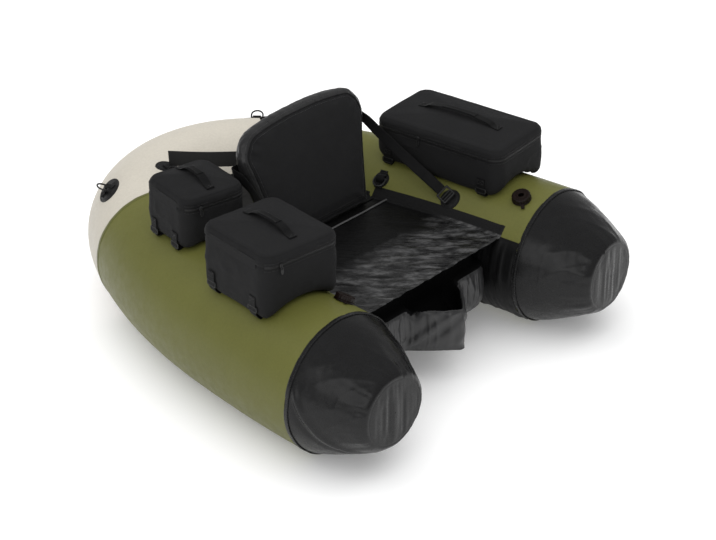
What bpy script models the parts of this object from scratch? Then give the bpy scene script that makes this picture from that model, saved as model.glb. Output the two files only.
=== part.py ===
"""Float tube: an open-fronted U-shaped inflatable with a seat deck slung
between two pontoons, a strapped backrest and three zipped gear bags.

Metres, +Z up. The open front and the two bow tips point to -Y, the closed
stern to +Y, so somebody sitting in it faces -Y with the right pontoon at -X.
"""
import math

import bmesh
import bpy
from mathutils import Matrix, Vector

# ---------------------------------------------------------------- dimensions
TUBE_R = 0.1915            # radius of the inflated pontoon
SIDES = 20                 # facets round the pontoon
TUBE_Z = TUBE_R * math.cos(math.pi / SIDES)      # the lowest facet lies on z = 0
COVER_T = 0.003            # cover cloth, as a solid wall
STERN_Y = 0.5086           # centre of the tube at the closed end
COVER_SEAM = 0.340         # distance from the stern centre to the stern panel's seam
LEG_END = 1.190            # ... to the seam of the bow cap
BOW_LENGTH = 0.1945
BOW_DISC_R = 0.1037
BOW_POWER = 1.25
# bend radius of the pontoon's centre line at distances from the stern centre
BEND = ((0.00, 0.248), (0.19, 0.275), (0.38, 1.71), (0.57, 1.19),
        (0.81, 2.93), (1.05, 3.33), (1.34, 5.70))

DECK_Z = 0.2930            # top of the seat deck
DECK_T = 0.006
DECK_FRONT = -0.4394
DECK_BREAK = -0.0300       # seat deck in front of it, cargo deck behind it
DECK_GAP = 0.004           # to the pontoons

CUSHION_TOP = 0.2855
CUSHION_BOTTOM = 0.0960
CUSHION_FRONT = -0.4430
CUSHION_REAR = -0.0700
POMMEL_REACH = 0.104
POMMEL_HALF = 0.100

BACK_TILT = math.radians(16.0)
BACK_FOOT = Vector((0.0, -0.0665, 0.2950))
BACK_H = 0.362
BACK_HALF_LOW = 0.178
BACK_HALF_TOP = 0.2400
BACK_T = 0.052
HINGE = Vector((0.0, -0.0400, 0.2955))

BAG_GAP = 0.0062           # clears the pontoon and the strap under the bag
BAG_WALL = 0.004
LID_H = 0.034
STRAP_W = 0.042
FRONT_STRAP_W = 0.030
FRONT_ANCHORS = {"left": (0.925, 131.0), "right": (0.920, 135.5)}
REAR_ANCHORS = {"left": (0.262, 100.0), "right": (0.190, 102.0)}

# name, centre x, centre y, turn, across, along, height over the lower edge, lower edge
BAGS = (
    ("right_front_bag", -0.4168, -0.2482, -7.4, 0.241, 0.267, 0.189, 0.3530),
    ("right_rear_bag", -0.3413, 0.0960, -11.5, 0.192, 0.200, 0.175, 0.3530),
    ("left_bag", 0.4330, -0.1717, 5.0, 0.240, 0.415, 0.158, 0.3510),
)

for old in list(bpy.data.objects):
    bpy.data.objects.remove(old, do_unlink=True)

# ---------------------------------------------------------------- materials
FINISHES = {
    "cream_pvc": ((0.58, 0.54, 0.45, 1), 0.45, 0.0),
    "olive_pvc": ((0.14, 0.14, 0.045, 1), 0.45, 0.0),
    "black_pvc": ((0.018, 0.018, 0.019, 1), 0.30, 0.0),
    "bag_cloth": ((0.022, 0.022, 0.023, 1), 0.75, 0.0),
    "pad_cloth": ((0.014, 0.014, 0.015, 1), 0.80, 0.0),
    "webbing": ((0.010, 0.010, 0.011, 1), 0.70, 0.0),
    "black_plastic": ((0.020, 0.020, 0.020, 1), 0.40, 0.0),
    "valve_plastic": ((0.030, 0.020, 0.016, 1), 0.35, 0.0),
    "bladder_film": ((0.55, 0.57, 0.56, 1), 0.25, 0.0),
    "steel": ((0.022, 0.022, 0.023, 1), 0.32, 0.0),
    "foam": ((0.30, 0.30, 0.29, 1), 0.90, 0.0),
}
MATS = {}


def finish_of(node_name, key):
    colour, rough, metal = FINISHES[key]
    mat = bpy.data.materials.new(node_name + "_" + key)
    mat.use_nodes = True
    bsdf = mat.node_tree.nodes["Principled BSDF"]
    bsdf.inputs["Base Color"].default_value = colour
    bsdf.inputs["Roughness"].default_value = rough
    bsdf.inputs["Metallic"].default_value = metal
    mat.diffuse_color = colour
    return mat


# ---------------------------------------------------------------- mesh helpers
def add(name, verts, faces, key, origin=None, sharp=40.0, parent=None):
    """One closed mesh object; its origin goes to `origin` where one is given."""
    shift = Vector(origin) if origin is not None else Vector((0, 0, 0))
    mesh = bpy.data.meshes.new(name)
    mesh.from_pydata([tuple(Vector(v) - shift) for v in verts], [], faces)
    bm = bmesh.new()
    bm.from_mesh(mesh)
    bmesh.ops.recalc_face_normals(bm, faces=bm.faces)
    bm.to_mesh(mesh)
    bm.free()
    mesh.shade_smooth()
    mesh.set_sharp_from_angle(angle=math.radians(sharp))
    obj = bpy.data.objects.new(name, mesh)
    bpy.context.scene.collection.objects.link(obj)
    obj.location = shift
    mesh.materials.append(finish_of(name, key))
    if parent is not None:
        obj.parent = parent
        obj.matrix_parent_inverse = Matrix.Translation(-parent.location)
    return obj


def loft(rings, closed=False, start=None, end=None):
    """Quads between rings of equal length. start/end: a point to close to, or
    "face" for a flat cap; closed joins the last ring to the first."""
    verts = [Vector(p) for ring in rings for p in ring]
    m = len(rings[0])
    faces = []
    count = len(rings)
    for i in range(count if closed else count - 1):
        a, b = i * m, ((i + 1) % count) * m
        for k in range(m):
            k2 = (k + 1) % m
            faces.append((a + k, a + k2, b + k2, b + k))
    for cap, base in ((start, 0), (end, (count - 1) * m)):
        if cap is None:
            continue
        if isinstance(cap, str):
            faces.append(tuple(range(base, base + m)))
            continue
        verts.append(Vector(cap))
        tip = len(verts) - 1
        for k in range(m):
            faces.append((base + k, base + (k + 1) % m, tip))
    return verts, faces


def lathe(profile, segments, frame, closed=False):
    """Turns (radius, height) pairs round the frame's Z."""
    rings = []
    for r, z in profile:
        rings.append([frame @ Vector((r * math.cos(a), r * math.sin(a), z))
                      for a in (2 * math.pi * k / segments for k in range(segments))])
    if closed:
        return loft(rings, closed=True)
    return loft(rings, start=frame @ Vector((0, 0, profile[0][1])),
                end=frame @ Vector((0, 0, profile[-1][1])))


def band(path, sides, width, thick):
    """A flat strap along `path`; `sides` gives its width direction at each point."""
    n = len(path)
    rings = []
    for i, point in enumerate(path):
        point = Vector(point)
        ahead = (Vector(path[min(i + 1, n - 1)]) - Vector(path[max(i - 1, 0)])).normalized()
        side = Vector(sides[i]) if isinstance(sides, list) else Vector(sides)
        side = (side - ahead * side.dot(ahead)).normalized()
        up = ahead.cross(side).normalized()
        # a mitred corner keeps the strap's thickness
        grow = 1.0
        if 0 < i < n - 1:
            first = (point - Vector(path[i - 1])).normalized()
            grow = 1.0 / max(0.6, abs(first.dot(ahead)))
        w, t = side * (width / 2), up * (thick / 2 * grow)
        rings.append([point + w + t, point - w + t, point - w - t, point + w - t])
    return loft(rings, start="face", end="face")


def cutter(name, verts, faces):
    obj = add(name, verts, faces, "foam")
    obj.hide_render = True
    obj.display_type = "WIRE"
    return obj


def boolean(obj, other, operation="DIFFERENCE"):
    mod = obj.modifiers.new(operation.lower() + "_" + other.name, "BOOLEAN")
    mod.operation = operation
    mod.solver = "EXACT"
    mod.object = other


# ---------------------------------------------------------------- the pontoon's line
def bend(s):
    for (s0, r0), (s1, r1) in zip(BEND, BEND[1:]):
        if s <= s1:
            k = (s - s0) / (s1 - s0)
            return (1 - k) / r0 + k / r1
    return 1 / BEND[-1][1]


STEP = 0.002
SPINE = [(0.0, STERN_Y, 0.0)]
for index in range(int(round(LEG_END / STEP))):
    px, py, pa = SPINE[-1]
    turn = (bend(index * STEP) + bend((index + 1) * STEP)) / 2 * STEP
    SPINE.append((px + math.cos(pa + turn / 2) * STEP,
                  py - math.sin(pa + turn / 2) * STEP, pa + turn))


def spine(s):
    """Centre point, forward tangent (away from the stern) and outward side at
    the signed distance s from the stern centre; s > 0 is the left pontoon."""
    d, side = abs(s), (1 if s >= 0 else -1)
    if d >= LEG_END:
        x, y, a = SPINE[-1]
        x += math.cos(a) * (d - LEG_END)
        y -= math.sin(a) * (d - LEG_END)
    else:
        i = min(int(d / STEP), len(SPINE) - 2)
        k = d / STEP - i
        x, y, a = (p + (q - p) * k for p, q in zip(SPINE[i], SPINE[i + 1]))
    centre = Vector((side * x, y, TUBE_Z))
    ahead = Vector((side * math.cos(a), -math.sin(a), 0))
    out = Vector((side * math.sin(a), math.cos(a), 0))
    return centre, ahead, out


def ring(s, r, n=SIDES):
    centre, _, out = spine(s)
    return [centre + out * (r * math.cos(f)) + Vector((0, 0, r * math.sin(f)))
            for f in (2 * math.pi * (k + 0.5) / n for k in range(n))]


def on_tube(s, phi, lift=0.0):
    """Point at phi degrees round the tube (0 outward, 90 the crown), its
    normal, the tangent ahead and the direction in which phi grows."""
    centre, ahead, out = spine(s)
    f = math.radians(phi)
    normal = out * math.cos(f) + Vector((0, 0, math.sin(f)))
    grow = out * -math.sin(f) + Vector((0, 0, math.cos(f)))
    return centre + normal * (TUBE_R + lift), normal, ahead, grow


def tube_offset(x, y):
    """Distance from the tube's centre line, seen from above."""
    return min(math.hypot(abs(x) - p[0], y - p[1]) for p in SPINE[::5])


def tube_top(x, y, lift=0.0):
    """Height of the pontoon's skin, or of a layer `lift` outside it."""
    d, r = tube_offset(x, y), TUBE_R + lift
    return TUBE_Z + math.sqrt(r ** 2 - d ** 2) if d < r else -1.0


def inner_x(y, z):
    """Half width between the pontoons at height z."""
    best = min(SPINE[90:], key=lambda p: abs(p[1] - y))
    reach = math.sqrt(max(TUBE_R ** 2 - (z - TUBE_Z) ** 2, 0.0))
    # measured square to the centre line
    return best[0] - reach / max(math.sin(best[2]), 0.3)


# ---------------------------------------------------------------- pontoon covers
def cover_panel(name, stations, key):
    outer = [ring(s, TUBE_R) for s in stations]
    inner = [ring(s, TUBE_R - COVER_T) for s in reversed(stations)]
    return add(name, *loft(outer + inner, closed=True), key, sharp=50)


def spread(a, b, n):
    return [a + (b - a) * i / n for i in range(n + 1)]


SEAM_GAP = 0.0005
cover_panel("stern_cover", spread(-COVER_SEAM + SEAM_GAP / 2, COVER_SEAM - SEAM_GAP / 2, 14),
            "cream_pvc")
side_covers = {}
for sign, hand in ((1, "left"), (-1, "right")):
    side_covers[hand] = cover_panel(
        hand + "_pontoon_cover",
        [sign * s for s in spread(COVER_SEAM + SEAM_GAP / 2, LEG_END - SEAM_GAP / 2, 8)],
        "olive_pvc")

    # bow cap: a rounded cone with a flat end disc, open towards the pontoon
    outer, inner = [], []
    for k in (0.0, 0.2, 0.4, 0.6, 0.8, 1.0):
        s = LEG_END + SEAM_GAP / 2 + (BOW_LENGTH - SEAM_GAP) * k
        r = TUBE_R + (BOW_DISC_R - TUBE_R) * k ** BOW_POWER
        outer.append(ring(sign * s, r))
        inner.append(ring(sign * (s - COVER_T * k), r - COVER_T))
    tip = spine(sign * (LEG_END + BOW_LENGTH - SEAM_GAP / 2))[0]
    tip_in = spine(sign * (LEG_END + BOW_LENGTH - SEAM_GAP / 2 - COVER_T))[0]
    add(hand + "_bow_cap", *loft(outer[::-1] + inner, start=tip, end=tip_in), "black_pvc",
        sharp=30)

# ---------------------------------------------------------------- bladders and valves
VALVES = {"left": (1.126, 110.0), "right": (1.110, 120.0)}   # distance along, degrees round
BLADDER_N = 12


def frame_at(s, phi, lift):
    """A frame whose Z is the tube's normal and X runs along the pontoon."""
    point, normal, ahead, _ = on_tube(s, phi, lift)
    y_axis = normal.cross(ahead).normalized()
    m = Matrix((ahead, y_axis, normal)).transposed().to_4x4()
    m.translation = point
    return m


for sign, hand in ((1, "left"), (-1, "right")):
    film = 0.002
    rings_out, rings_in = [], []
    body_r = TUBE_R * math.cos(math.pi / SIDES) - COVER_T - 0.0015
    ends = [(0.006, 0.55), (0.030, 0.86)]
    for s in (0.075, 0.15, 0.22, 0.29, 0.37, 0.50, 0.64, 0.78, 0.92, 1.06, 1.17):
        ends.append((s, 1.0))
    ends += [(1.25, 0.87), (1.32, 0.68), (1.36, 0.52)]
    for s, k in ends:
        rings_out.append(ring(sign * s, body_r * k, BLADDER_N))
        rings_in.append(ring(sign * s, body_r * k - film, BLADDER_N))
    first, last = spine(sign * 0.004)[0], spine(sign * 1.364)[0]
    ov, of_ = loft(rings_out, start=first, end=last)
    first_in, last_in = spine(sign * 0.0075)[0], spine(sign * 1.3585)[0]
    iv, if_ = loft([[p for p in r] for r in rings_in], start=first_in, end=last_in)
    bladder = add(hand + "_bladder", ov, of_, "bladder_film")
    hollow = cutter(hand + "_bladder_hollow", iv, if_)
    valve_s, valve_phi = VALVES[hand]
    hole = frame_at(sign * valve_s, valve_phi, 0.0)
    drill = cutter(hand + "_valve_hole", *lathe([(0.0185, -0.030), (0.0185, 0.020)], 12, hole))
    boolean(bladder, hollow)
    boolean(bladder, drill)
    boolean(side_covers[hand], drill)

    seat = frame_at(sign * valve_s, valve_phi, 0.0012)
    # turned body: flange on the cover, barrel through both skins, inner seat ring
    add(hand + "_valve_body", *lathe(
        [(0.0275, 0.0), (0.0275, 0.0030), (0.0205, 0.0032), (0.0205, 0.0110),
         (0.0165, 0.0110), (0.0165, -0.0050), (0.0070, -0.0050), (0.0070, -0.0080),
         (0.0150, -0.0080), (0.0150, -0.0240), (0.0178, -0.0240), (0.0178, 0.0)],
        12, seat, closed=True), "valve_plastic", sharp=35)
    add(hand + "_valve_pin", *lathe(
        [(0.0035, 0.0060), (0.0060, 0.0060), (0.0060, 0.0035), (0.0035, 0.0030), (0.0035, -0.0088),
         (0.0115, -0.0090), (0.0115, -0.0110), (0.0035, -0.0112)], 10, seat),
        "valve_plastic", origin=seat @ Vector((0, 0, -0.0065)), sharp=35)
    # the cap screws over the body's collar
    add(hand + "_valve_cap", *lathe(
        [(0.0080, 0.0150), (0.0220, 0.0162), (0.0262, 0.0135), (0.0262, 0.0040),
         (0.0212, 0.0040), (0.0212, 0.0125), (0.0080, 0.0125)], 16, seat),
        "valve_plastic", origin=seat.translation, sharp=35)

# ---------------------------------------------------------------- decks
def deck(name, y0, y1, rows, key, sag=0.0, follow_stern=False):
    """A thin sheet between the pontoons, its side edges along their inner faces."""
    cols = 8
    top, low = [], []
    for i in range(rows + 1):
        y = y0 + (y1 - y0) * i / rows
        half = min(inner_x(y, DECK_Z), inner_x(y, DECK_Z - DECK_T)) - DECK_GAP
        line_t, line_b = [], []
        for j in range(cols + 1):
            u = -1 + 2 * j / cols
            drop = sag * (1 - u * u) * math.sin(math.pi * min(max(i / rows, 0.12), 0.88))
            line_t.append(Vector((u * half, y, DECK_Z - drop)))
            line_b.append(Vector((u * half, y, DECK_Z - DECK_T - drop)))
        top.append(line_t)
        low.append(line_b)
    rings = [t + b[::-1] for t, b in zip(top, low)]
    verts = [v for r in rings for v in r]
    m = len(rings[0])
    faces = []
    for i in range(rows):
        for k in range(m):
            k2 = (k + 1) % m
            faces.append((i * m + k, i * m + k2, (i + 1) * m + k2, (i + 1) * m + k))
    for base in (0, rows * m):
        for j in range(cols):
            faces.append((base + j, base + j + 1, base + m - 2 - j, base + m - 1 - j))
    return add(name, verts, faces, key, sharp=50)


deck("seat_deck", DECK_FRONT, DECK_BREAK - 0.0005, 6, "black_pvc")


def stern_reach():
    """How far back the cargo deck runs on the centre line."""
    return STERN_Y - math.sqrt(TUBE_R ** 2 - (DECK_Z - TUBE_Z) ** 2) - DECK_GAP


def cargo_outline():
    """Half outline (x, y) of the cargo deck from the centre of its front edge
    to its stern point, following the tube at the deck's height."""
    reach = math.sqrt(TUBE_R ** 2 - (DECK_Z - DECK_T - TUBE_Z) ** 2) + DECK_GAP
    points = []
    for x, y, a in SPINE[::1]:
        px, py = x - math.sin(a) * reach, y - math.cos(a) * reach
        if py >= DECK_BREAK + 0.0005:
            points.append((max(px, 0.0), py))
    # thin it out by arc length
    keep = [points[0]]
    for p in points:
        if math.dist(p, keep[-1]) > 0.034:
            keep.append(p)
    edge_y = DECK_BREAK + 0.0005
    if keep[-1][1] - edge_y < 0.012:
        keep.pop()
    keep.append((points[-1][0], edge_y))
    return keep                      # from the stern point forward


half_line = cargo_outline()
outline = [(x, y) for x, y in half_line] + [(-x, y) for x, y in reversed(half_line[1:])]
centre_y = 0.10
verts, faces = [], []
rings = []
for z in (DECK_Z, DECK_Z - DECK_T):
    rings.append([Vector((x, y, z)) for x, y in outline])
add("cargo_deck", *loft(rings, start="face", end="face"), "black_pvc", sharp=50)


# ---------------------------------------------------------------- seat cushion
def cushion_outline(inset, z=None):
    """Plan outline of the cushion, counter-clockwise, with the pommel in front."""
    points = []
    front = CUSHION_FRONT + inset
    rear = CUSHION_REAR - inset
    xs = [0.0, 0.014, 0.045, 0.075, 0.100, 0.150, 0.200]
    for x in xs:
        k = min(max((x - 0.006) / (POMMEL_HALF - 0.006), 0.0), 1.0)
        y = front - POMMEL_REACH * (1 - k)
        points.append((x - (inset * 0.7 if 0.03 < x < 0.12 else 0.0), y))
    corner = inner_x(front + 0.03, TUBE_Z) - 0.007 - inset
    points.append((corner, front + 0.02))
    for y in (front + 0.10, (front + rear) / 2 + 0.03, rear - 0.025):
        points.append((inner_x(y, TUBE_Z) - 0.007 - inset, y))
    points.append((inner_x(rear, TUBE_Z) - 0.032 - inset, rear))
    full = points + [(0.0, rear)] + [(-x, y) for x, y in reversed(points[1:])]
    return full


def plan_ring(outline, z, scale=1.0, mid=(0.0, -0.25)):
    return [Vector((mid[0] + (x - mid[0]) * scale, mid[1] + (y - mid[1]) * scale, z))
            for x, y in outline]


wall = 0.004
o, i_ = cushion_outline(0.0), cushion_outline(wall)
low, high = CUSHION_BOTTOM, CUSHION_TOP
cover_rings = [
    plan_ring(o, low, 0.30), plan_ring(o, low, 0.88), plan_ring(o, low + 0.030, 1.0),
    plan_ring(o, high - 0.030, 1.0), plan_ring(o, high, 0.90),
]
inner_rings = [
    plan_ring(i_, high - wall, 0.89), plan_ring(i_, high - 0.032, 1.0),
    plan_ring(i_, low + 0.032, 1.0), plan_ring(i_, low + wall, 0.87),
    plan_ring(i_, low + wall, 0.31),
]
# the bottom stays open round the laced slot that the air cell goes in through
n_o = len(o)
verts = [v for r in cover_rings + inner_rings for v in r]
faces = []
count = len(cover_rings)
for a in range(count - 1):
    for k in range(n_o):
        k2 = (k + 1) % n_o
        faces.append((a * n_o + k, a * n_o + k2, (a + 1) * n_o + k2, (a + 1) * n_o + k))
base = count * n_o
for a in range(len(inner_rings) - 1):
    for k in range(n_o):
        k2 = (k + 1) % n_o
        faces.append((base + a * n_o + k, base + a * n_o + k2,
                      base + (a + 1) * n_o + k2, base + (a + 1) * n_o + k))
verts += [Vector((0, -0.25, high)), Vector((0, -0.25, high - wall))]
for k in range(n_o):
    k2 = (k + 1) % n_o
    faces.append(((count - 1) * n_o + k, (count - 1) * n_o + k2, len(verts) - 2))
    faces.append((base + k, base + k2, len(verts) - 1))
    last = base + (len(inner_rings) - 1) * n_o
    faces.append((k, k2, last + k2, last + k))
add("seat_cushion_cover", verts, faces, "black_pvc", sharp=60)

c_ = cushion_outline(wall + 0.003)
add("seat_air_cell", *loft([
    plan_ring(c_, low + wall + 0.002, 0.82), plan_ring(c_, low + 0.038, 0.985),
    plan_ring(c_, high - 0.038, 0.985), plan_ring(c_, high - wall - 0.002, 0.84)],
    start=Vector((0, -0.25, low + wall + 0.002)), end=Vector((0, -0.25, high - wall - 0.002))),
    "bladder_film", sharp=60)

# ---------------------------------------------------------------- backrest
BACK_UP = Vector((0, math.sin(BACK_TILT), math.cos(BACK_TILT)))
BACK_N = Vector((0, math.cos(BACK_TILT), -math.sin(BACK_TILT)))

recline = bpy.data.objects.new("recline_axis", None)
recline.location = HINGE
bpy.context.scene.collection.objects.link(recline)


def back_point(u, v, w):
    return BACK_FOOT + Vector((u, 0, 0)) + BACK_UP * v + BACK_N * w


def back_half(v):
    """Half width of the backrest at height v: wider upwards."""
    k = min(max(v / (BACK_H * 0.75), 0.0), 1.0)
    return BACK_HALF_LOW + (BACK_HALF_TOP - BACK_HALF_LOW) * k ** 0.9


def back_outline():
    pts = []
    r_low, r_top = 0.035, 0.085
    for a in (-90, -45, 0):
        t = math.radians(a)
        pts.append((back_half(r_low) - r_low + r_low * math.cos(t), r_low + r_low * math.sin(t)))
    for v in (0.12, 0.20):
        pts.append((back_half(v), v))
    for a in (0, 30, 60, 90):
        t = math.radians(a)
        pts.append((back_half(BACK_H - r_top) - r_top + r_top * math.cos(t),
                    BACK_H - 0.010 - r_top + r_top * math.sin(t)))
    pts.append((0.070, BACK_H - 0.001))
    return pts + [(0.0, BACK_H)] + [(-u, v) for u, v in reversed(pts)] + [(0.0, 0.0)]


B_OUT = back_outline()
B_MID = (0.0, BACK_H * 0.5)


def back_floor(y):
    """The foot is a shallow rocker, so that it can tip both ways on the deck."""
    slope = math.tan(math.radians(18.0 if y < HINGE.y else 14.0))
    return HINGE.z + abs(y - HINGE.y) * slope


def back_ring(scale, w, inset=0.0):
    ring_ = []
    for u, v in B_OUT:
        du, dv = u - B_MID[0], v - B_MID[1]
        far = math.hypot(du, dv)
        k = scale * (far - inset) / far
        p = back_point(B_MID[0] + du * k, B_MID[1] + dv * k, w)
        low_limit = back_floor(p.y) + inset
        if p.z < low_limit:
            p += BACK_UP * ((low_limit - p.z) / BACK_UP.z)
        ring_.append(p)
    return ring_


t_ = BACK_T
outer = [back_ring(0.60, 0.0), back_ring(0.93, 0.0025), back_ring(1.0, 0.014),
         back_ring(1.0, t_ - 0.012), back_ring(0.94, t_), back_ring(0.55, t_)]
inner = [back_ring(0.55, t_ - 0.003), back_ring(0.93, t_ - 0.003, 0.002),
         back_ring(1.0, t_ - 0.014, 0.003), back_ring(1.0, 0.015, 0.003),
         back_ring(0.93, 0.0055, 0.002), back_ring(0.60, 0.003)]
add("backrest_cover", *loft(outer + inner, start=back_point(0, B_MID[1], 0.0),
                            end=back_point(0, B_MID[1], 0.003)),
    "pad_cloth", origin=HINGE, sharp=70, parent=recline)
add("backrest_air_cell", *loft(
    [back_ring(0.90, 0.0075, 0.002), back_ring(1.0, 0.017, 0.007),
     back_ring(1.0, t_ - 0.016, 0.007), back_ring(0.90, t_ - 0.0048, 0.002)],
    start=back_point(0, B_MID[1], 0.0050), end=back_point(0, B_MID[1], t_ - 0.0048)),
    "bladder_film", origin=HINGE, sharp=70, parent=recline)
panel_w = t_ + 0.0006
add("backrest_back_panel", *loft(
    [back_ring(0.86, panel_w), back_ring(0.86, panel_w + 0.004)], start="face", end="face"),
    "black_pvc", origin=HINGE, sharp=60, parent=recline)


# ---------------------------------------------------------------- patches and D-rings
def patch(name, s, phi, radius, key, lift=0.0022, thick=0.0022, tab=False, bar=0.0062,
          segments=14):
    """A round glued patch that follows the tube; with a webbing tab over a ring's bar."""
    rings = []
    for r, h in ((radius * 0.5, 0.0), (radius, 0.0), (radius, thick * 0.55),
                 (radius * 0.5, thick)):
        line = []
        for k in range(segments):
            a = 2 * math.pi * k / segments
            p, _, _, _ = on_tube(s + r * math.cos(a) / 1.0,
                                 phi + math.degrees(r * math.sin(a) / TUBE_R), lift + h)
            line.append(p)
        rings.append(line)
    centre_low = on_tube(s, phi, lift)[0]
    centre_high = on_tube(s, phi, lift + thick)[0]
    obj = add(name, *loft(rings, start=centre_low, end=centre_high), key, sharp=40)
    if tab:
        m = frame_at(s, phi, lift + thick)
        path = []
        r_ = bar + 0.0032
        for a in (0, 30, 60, 90, 120, 150, 180):
            t = math.radians(a)
            path.append(m @ Vector((0, r_ * 1.15 * math.cos(t), r_ * math.sin(t))))
        path = [m @ Vector((0, r_ * 1.15, -0.0018))] + path + [m @ Vector((0, -r_ * 1.15, -0.0018))]
        arch = cutter(name + "_arch", *band(path, m.to_3x3() @ Vector((1, 0, 0)), 0.024, 0.0016))
        boolean(obj, arch, "UNION")
    return obj


def d_ring(name, s, phi, lift, bar, stand, slope, key="steel", wire=0.0025, half=0.017, leg=0.010):
    """A D-ring, its straight bar along the pontoon; `stand` degrees off the
    surface, slope -1 towards the tube's outer side and 1 towards its inner side."""
    m = frame_at(s, phi, lift)
    axis_point = m @ Vector((0, 0, bar))
    grow = on_tube(s, phi)[3]
    normal = on_tube(s, phi)[1]
    along = on_tube(s, phi)[2]
    t = math.radians(stand)
    reach = (grow * (slope * math.cos(t)) + normal * math.sin(t)).normalized()
    loop = [(-half + 0.003, 0.0), (0.0, 0.0), (half - 0.003, 0.0), (half, 0.003), (half, leg)]
    for a in (30, 60, 90, 120, 150):
        t = math.radians(a)
        loop.append((half * math.cos(t), leg + half * math.sin(t)))
    loop += [(-half, leg), (-half, 0.003)]
    plane = along.cross(reach).normalized()
    rings = []
    n = len(loop)
    for i in range(n):
        a, b, c = loop[i - 1], loop[i], loop[(i + 1) % n]
        tan = Vector((c[0] - a[0], c[1] - a[1])).normalized()
        side = Vector((tan[1], -tan[0]))
        side3 = along * side[0] + reach * side[1]
        centre = axis_point + along * b[0] + reach * b[1]
        rings.append([centre + side3 * (wire * math.cos(q)) + plane * (wire * math.sin(q))
                      for q in (2 * math.pi * k / 6 for k in range(6))])
    return add(name, *loft(rings, closed=True), key, origin=axis_point, sharp=60)


PATCH_LIFT, PATCH_T = 0.0022, 0.0022
RING_SPOTS = (
    # name, distance from the stern, phi, patch radius, stand, slope
    ("rear", 0.232, 49.0, 0.037, 62.0, -1),
    ("deck", 0.690, 131.0, 0.024, 8.0, 1),
)
for sign, hand in ((1, "left"), (-1, "right")):
    for where, s, phi, radius, stand, slope in RING_SPOTS:
        patch(f"{hand}_{where}_ring_patch", sign * s, phi, radius, "black_pvc", tab=True)
        d_ring(f"{hand}_{where}_d_ring", sign * s, phi, PATCH_LIFT + PATCH_T, 0.0048, stand, slope)

# ---------------------------------------------------------------- backrest straps
for sign, hand in ((1, "left"), (-1, "right")):
    # front strap: from the back panel round the edge of the pad to the pontoon
    s_a, phi_a = FRONT_ANCHORS[hand]
    patch(f"{hand}_front_strap_anchor", sign * s_a, phi_a, 0.030, "black_pvc")
    foot, normal, ahead, grow = on_tube(sign * s_a, phi_a, 0.0105)
    v0 = 0.245
    w_back = panel_w + 0.004 + 0.0022
    start = back_point(sign * 0.120, v0, w_back)
    turn_a = back_point(sign * (back_half(v0) + 0.000), v0, w_back)
    turn_b = back_point(sign * (back_half(v0) + 0.0125), v0 - 0.004, t_ * 0.62)
    buckle_dir = (foot - turn_b).normalized()
    stop = foot - buckle_dir * 0.030
    path = [start, turn_a, turn_b]
    for k in (0.33, 0.66, 1.0):
        path.append(turn_b.lerp(stop, k))
    side_back = BACK_UP
    side_tube = buckle_dir.cross(normal).normalized()
    if side_tube.dot(side_back) < 0:
        side_tube = -side_tube
    sides = [side_back, side_back, side_back]
    for k in (0.33, 0.66, 1.0):
        sides.append(side_back.lerp(side_tube, k))
    add(f"{hand}_front_strap", *band(path, sides, FRONT_STRAP_W, 0.0024), "webbing", sharp=50)

    # ladder buckle between the strap and its anchor
    z_axis = buckle_dir.cross(side_tube).normalized()
    m = Matrix((buckle_dir, side_tube, z_axis)).transposed().to_4x4()
    m.translation = stop + buckle_dir * 0.018
    half_w, half_l = FRONT_STRAP_W / 2 + 0.005, 0.0165
    zs = (0.003, -0.003)
    xs = (-half_l, -half_l + 0.005, -0.0025, 0.0025, half_l - 0.005, half_l)
    ys = (-half_w, -half_w + 0.005, half_w - 0.005, half_w)
    grid = {}
    verts, faces = [], []
    for zi, z in enumerate(zs):
        for xi, x in enumerate(xs):
            for yi, y in enumerate(ys):
                grid[xi, yi, zi] = len(verts)
                verts.append(m @ Vector((x, y, z)))
    solid = {(xi, yi): not (yi == 1 and xi in (1, 3)) for xi in range(5) for yi in range(3)}
    for (xi, yi), full in solid.items():
        if not full:
            continue
        for zi in (0, 1):
            faces.append((grid[xi, yi, zi], grid[xi + 1, yi, zi], grid[xi + 1, yi + 1, zi],
                          grid[xi, yi + 1, zi]))
        for dx, dy, c0, c1 in ((-1, 0, (xi, yi), (xi, yi + 1)), (1, 0, (xi + 1, yi), (xi + 1, yi + 1)),
                               (0, -1, (xi, yi), (xi + 1, yi)), (0, 1, (xi, yi + 1), (xi + 1, yi + 1))):
            if not solid.get((xi + dx, yi + dy), False):
                faces.append((grid[c0 + (0,)], grid[c1 + (0,)], grid[c1 + (1,)], grid[c0 + (1,)]))
    add(f"{hand}_strap_buckle", verts, faces, "black_plastic", sharp=40)

    # rear strap: from the back panel to the crown of the stern, where it stands on edge
    s_b, phi_b = REAR_ANCHORS[hand]
    patch(f"{hand}_rear_strap_anchor", sign * s_b, phi_b, 0.034, "black_pvc")
    foot, normal, ahead, grow = on_tube(sign * s_b, phi_b, 0.0062 + STRAP_W / 2)
    v1, w_rear = 0.262, w_back + 0.0036
    path = [back_point(sign * 0.110, v1, w_rear), back_point(sign * 0.160, v1, w_rear),
            back_point(sign * 0.178, v1, w_rear + 0.008)]
    away = (foot - path[2]).normalized()
    for k in (0.34, 0.67, 0.93, 1.0):
        path.append(path[2].lerp(foot, k))
    sides = [BACK_UP, BACK_UP, BACK_UP] + [BACK_UP.lerp(normal, k) for k in (0.34, 0.67, 1.0)] + [normal]
    add(f"{hand}_rear_strap", *band(path, sides, STRAP_W, 0.0024), "webbing", sharp=50)


# ---------------------------------------------------------------- gear bags
CORNER_STEPS = 3
SADDLE_SIDES = 24


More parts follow.
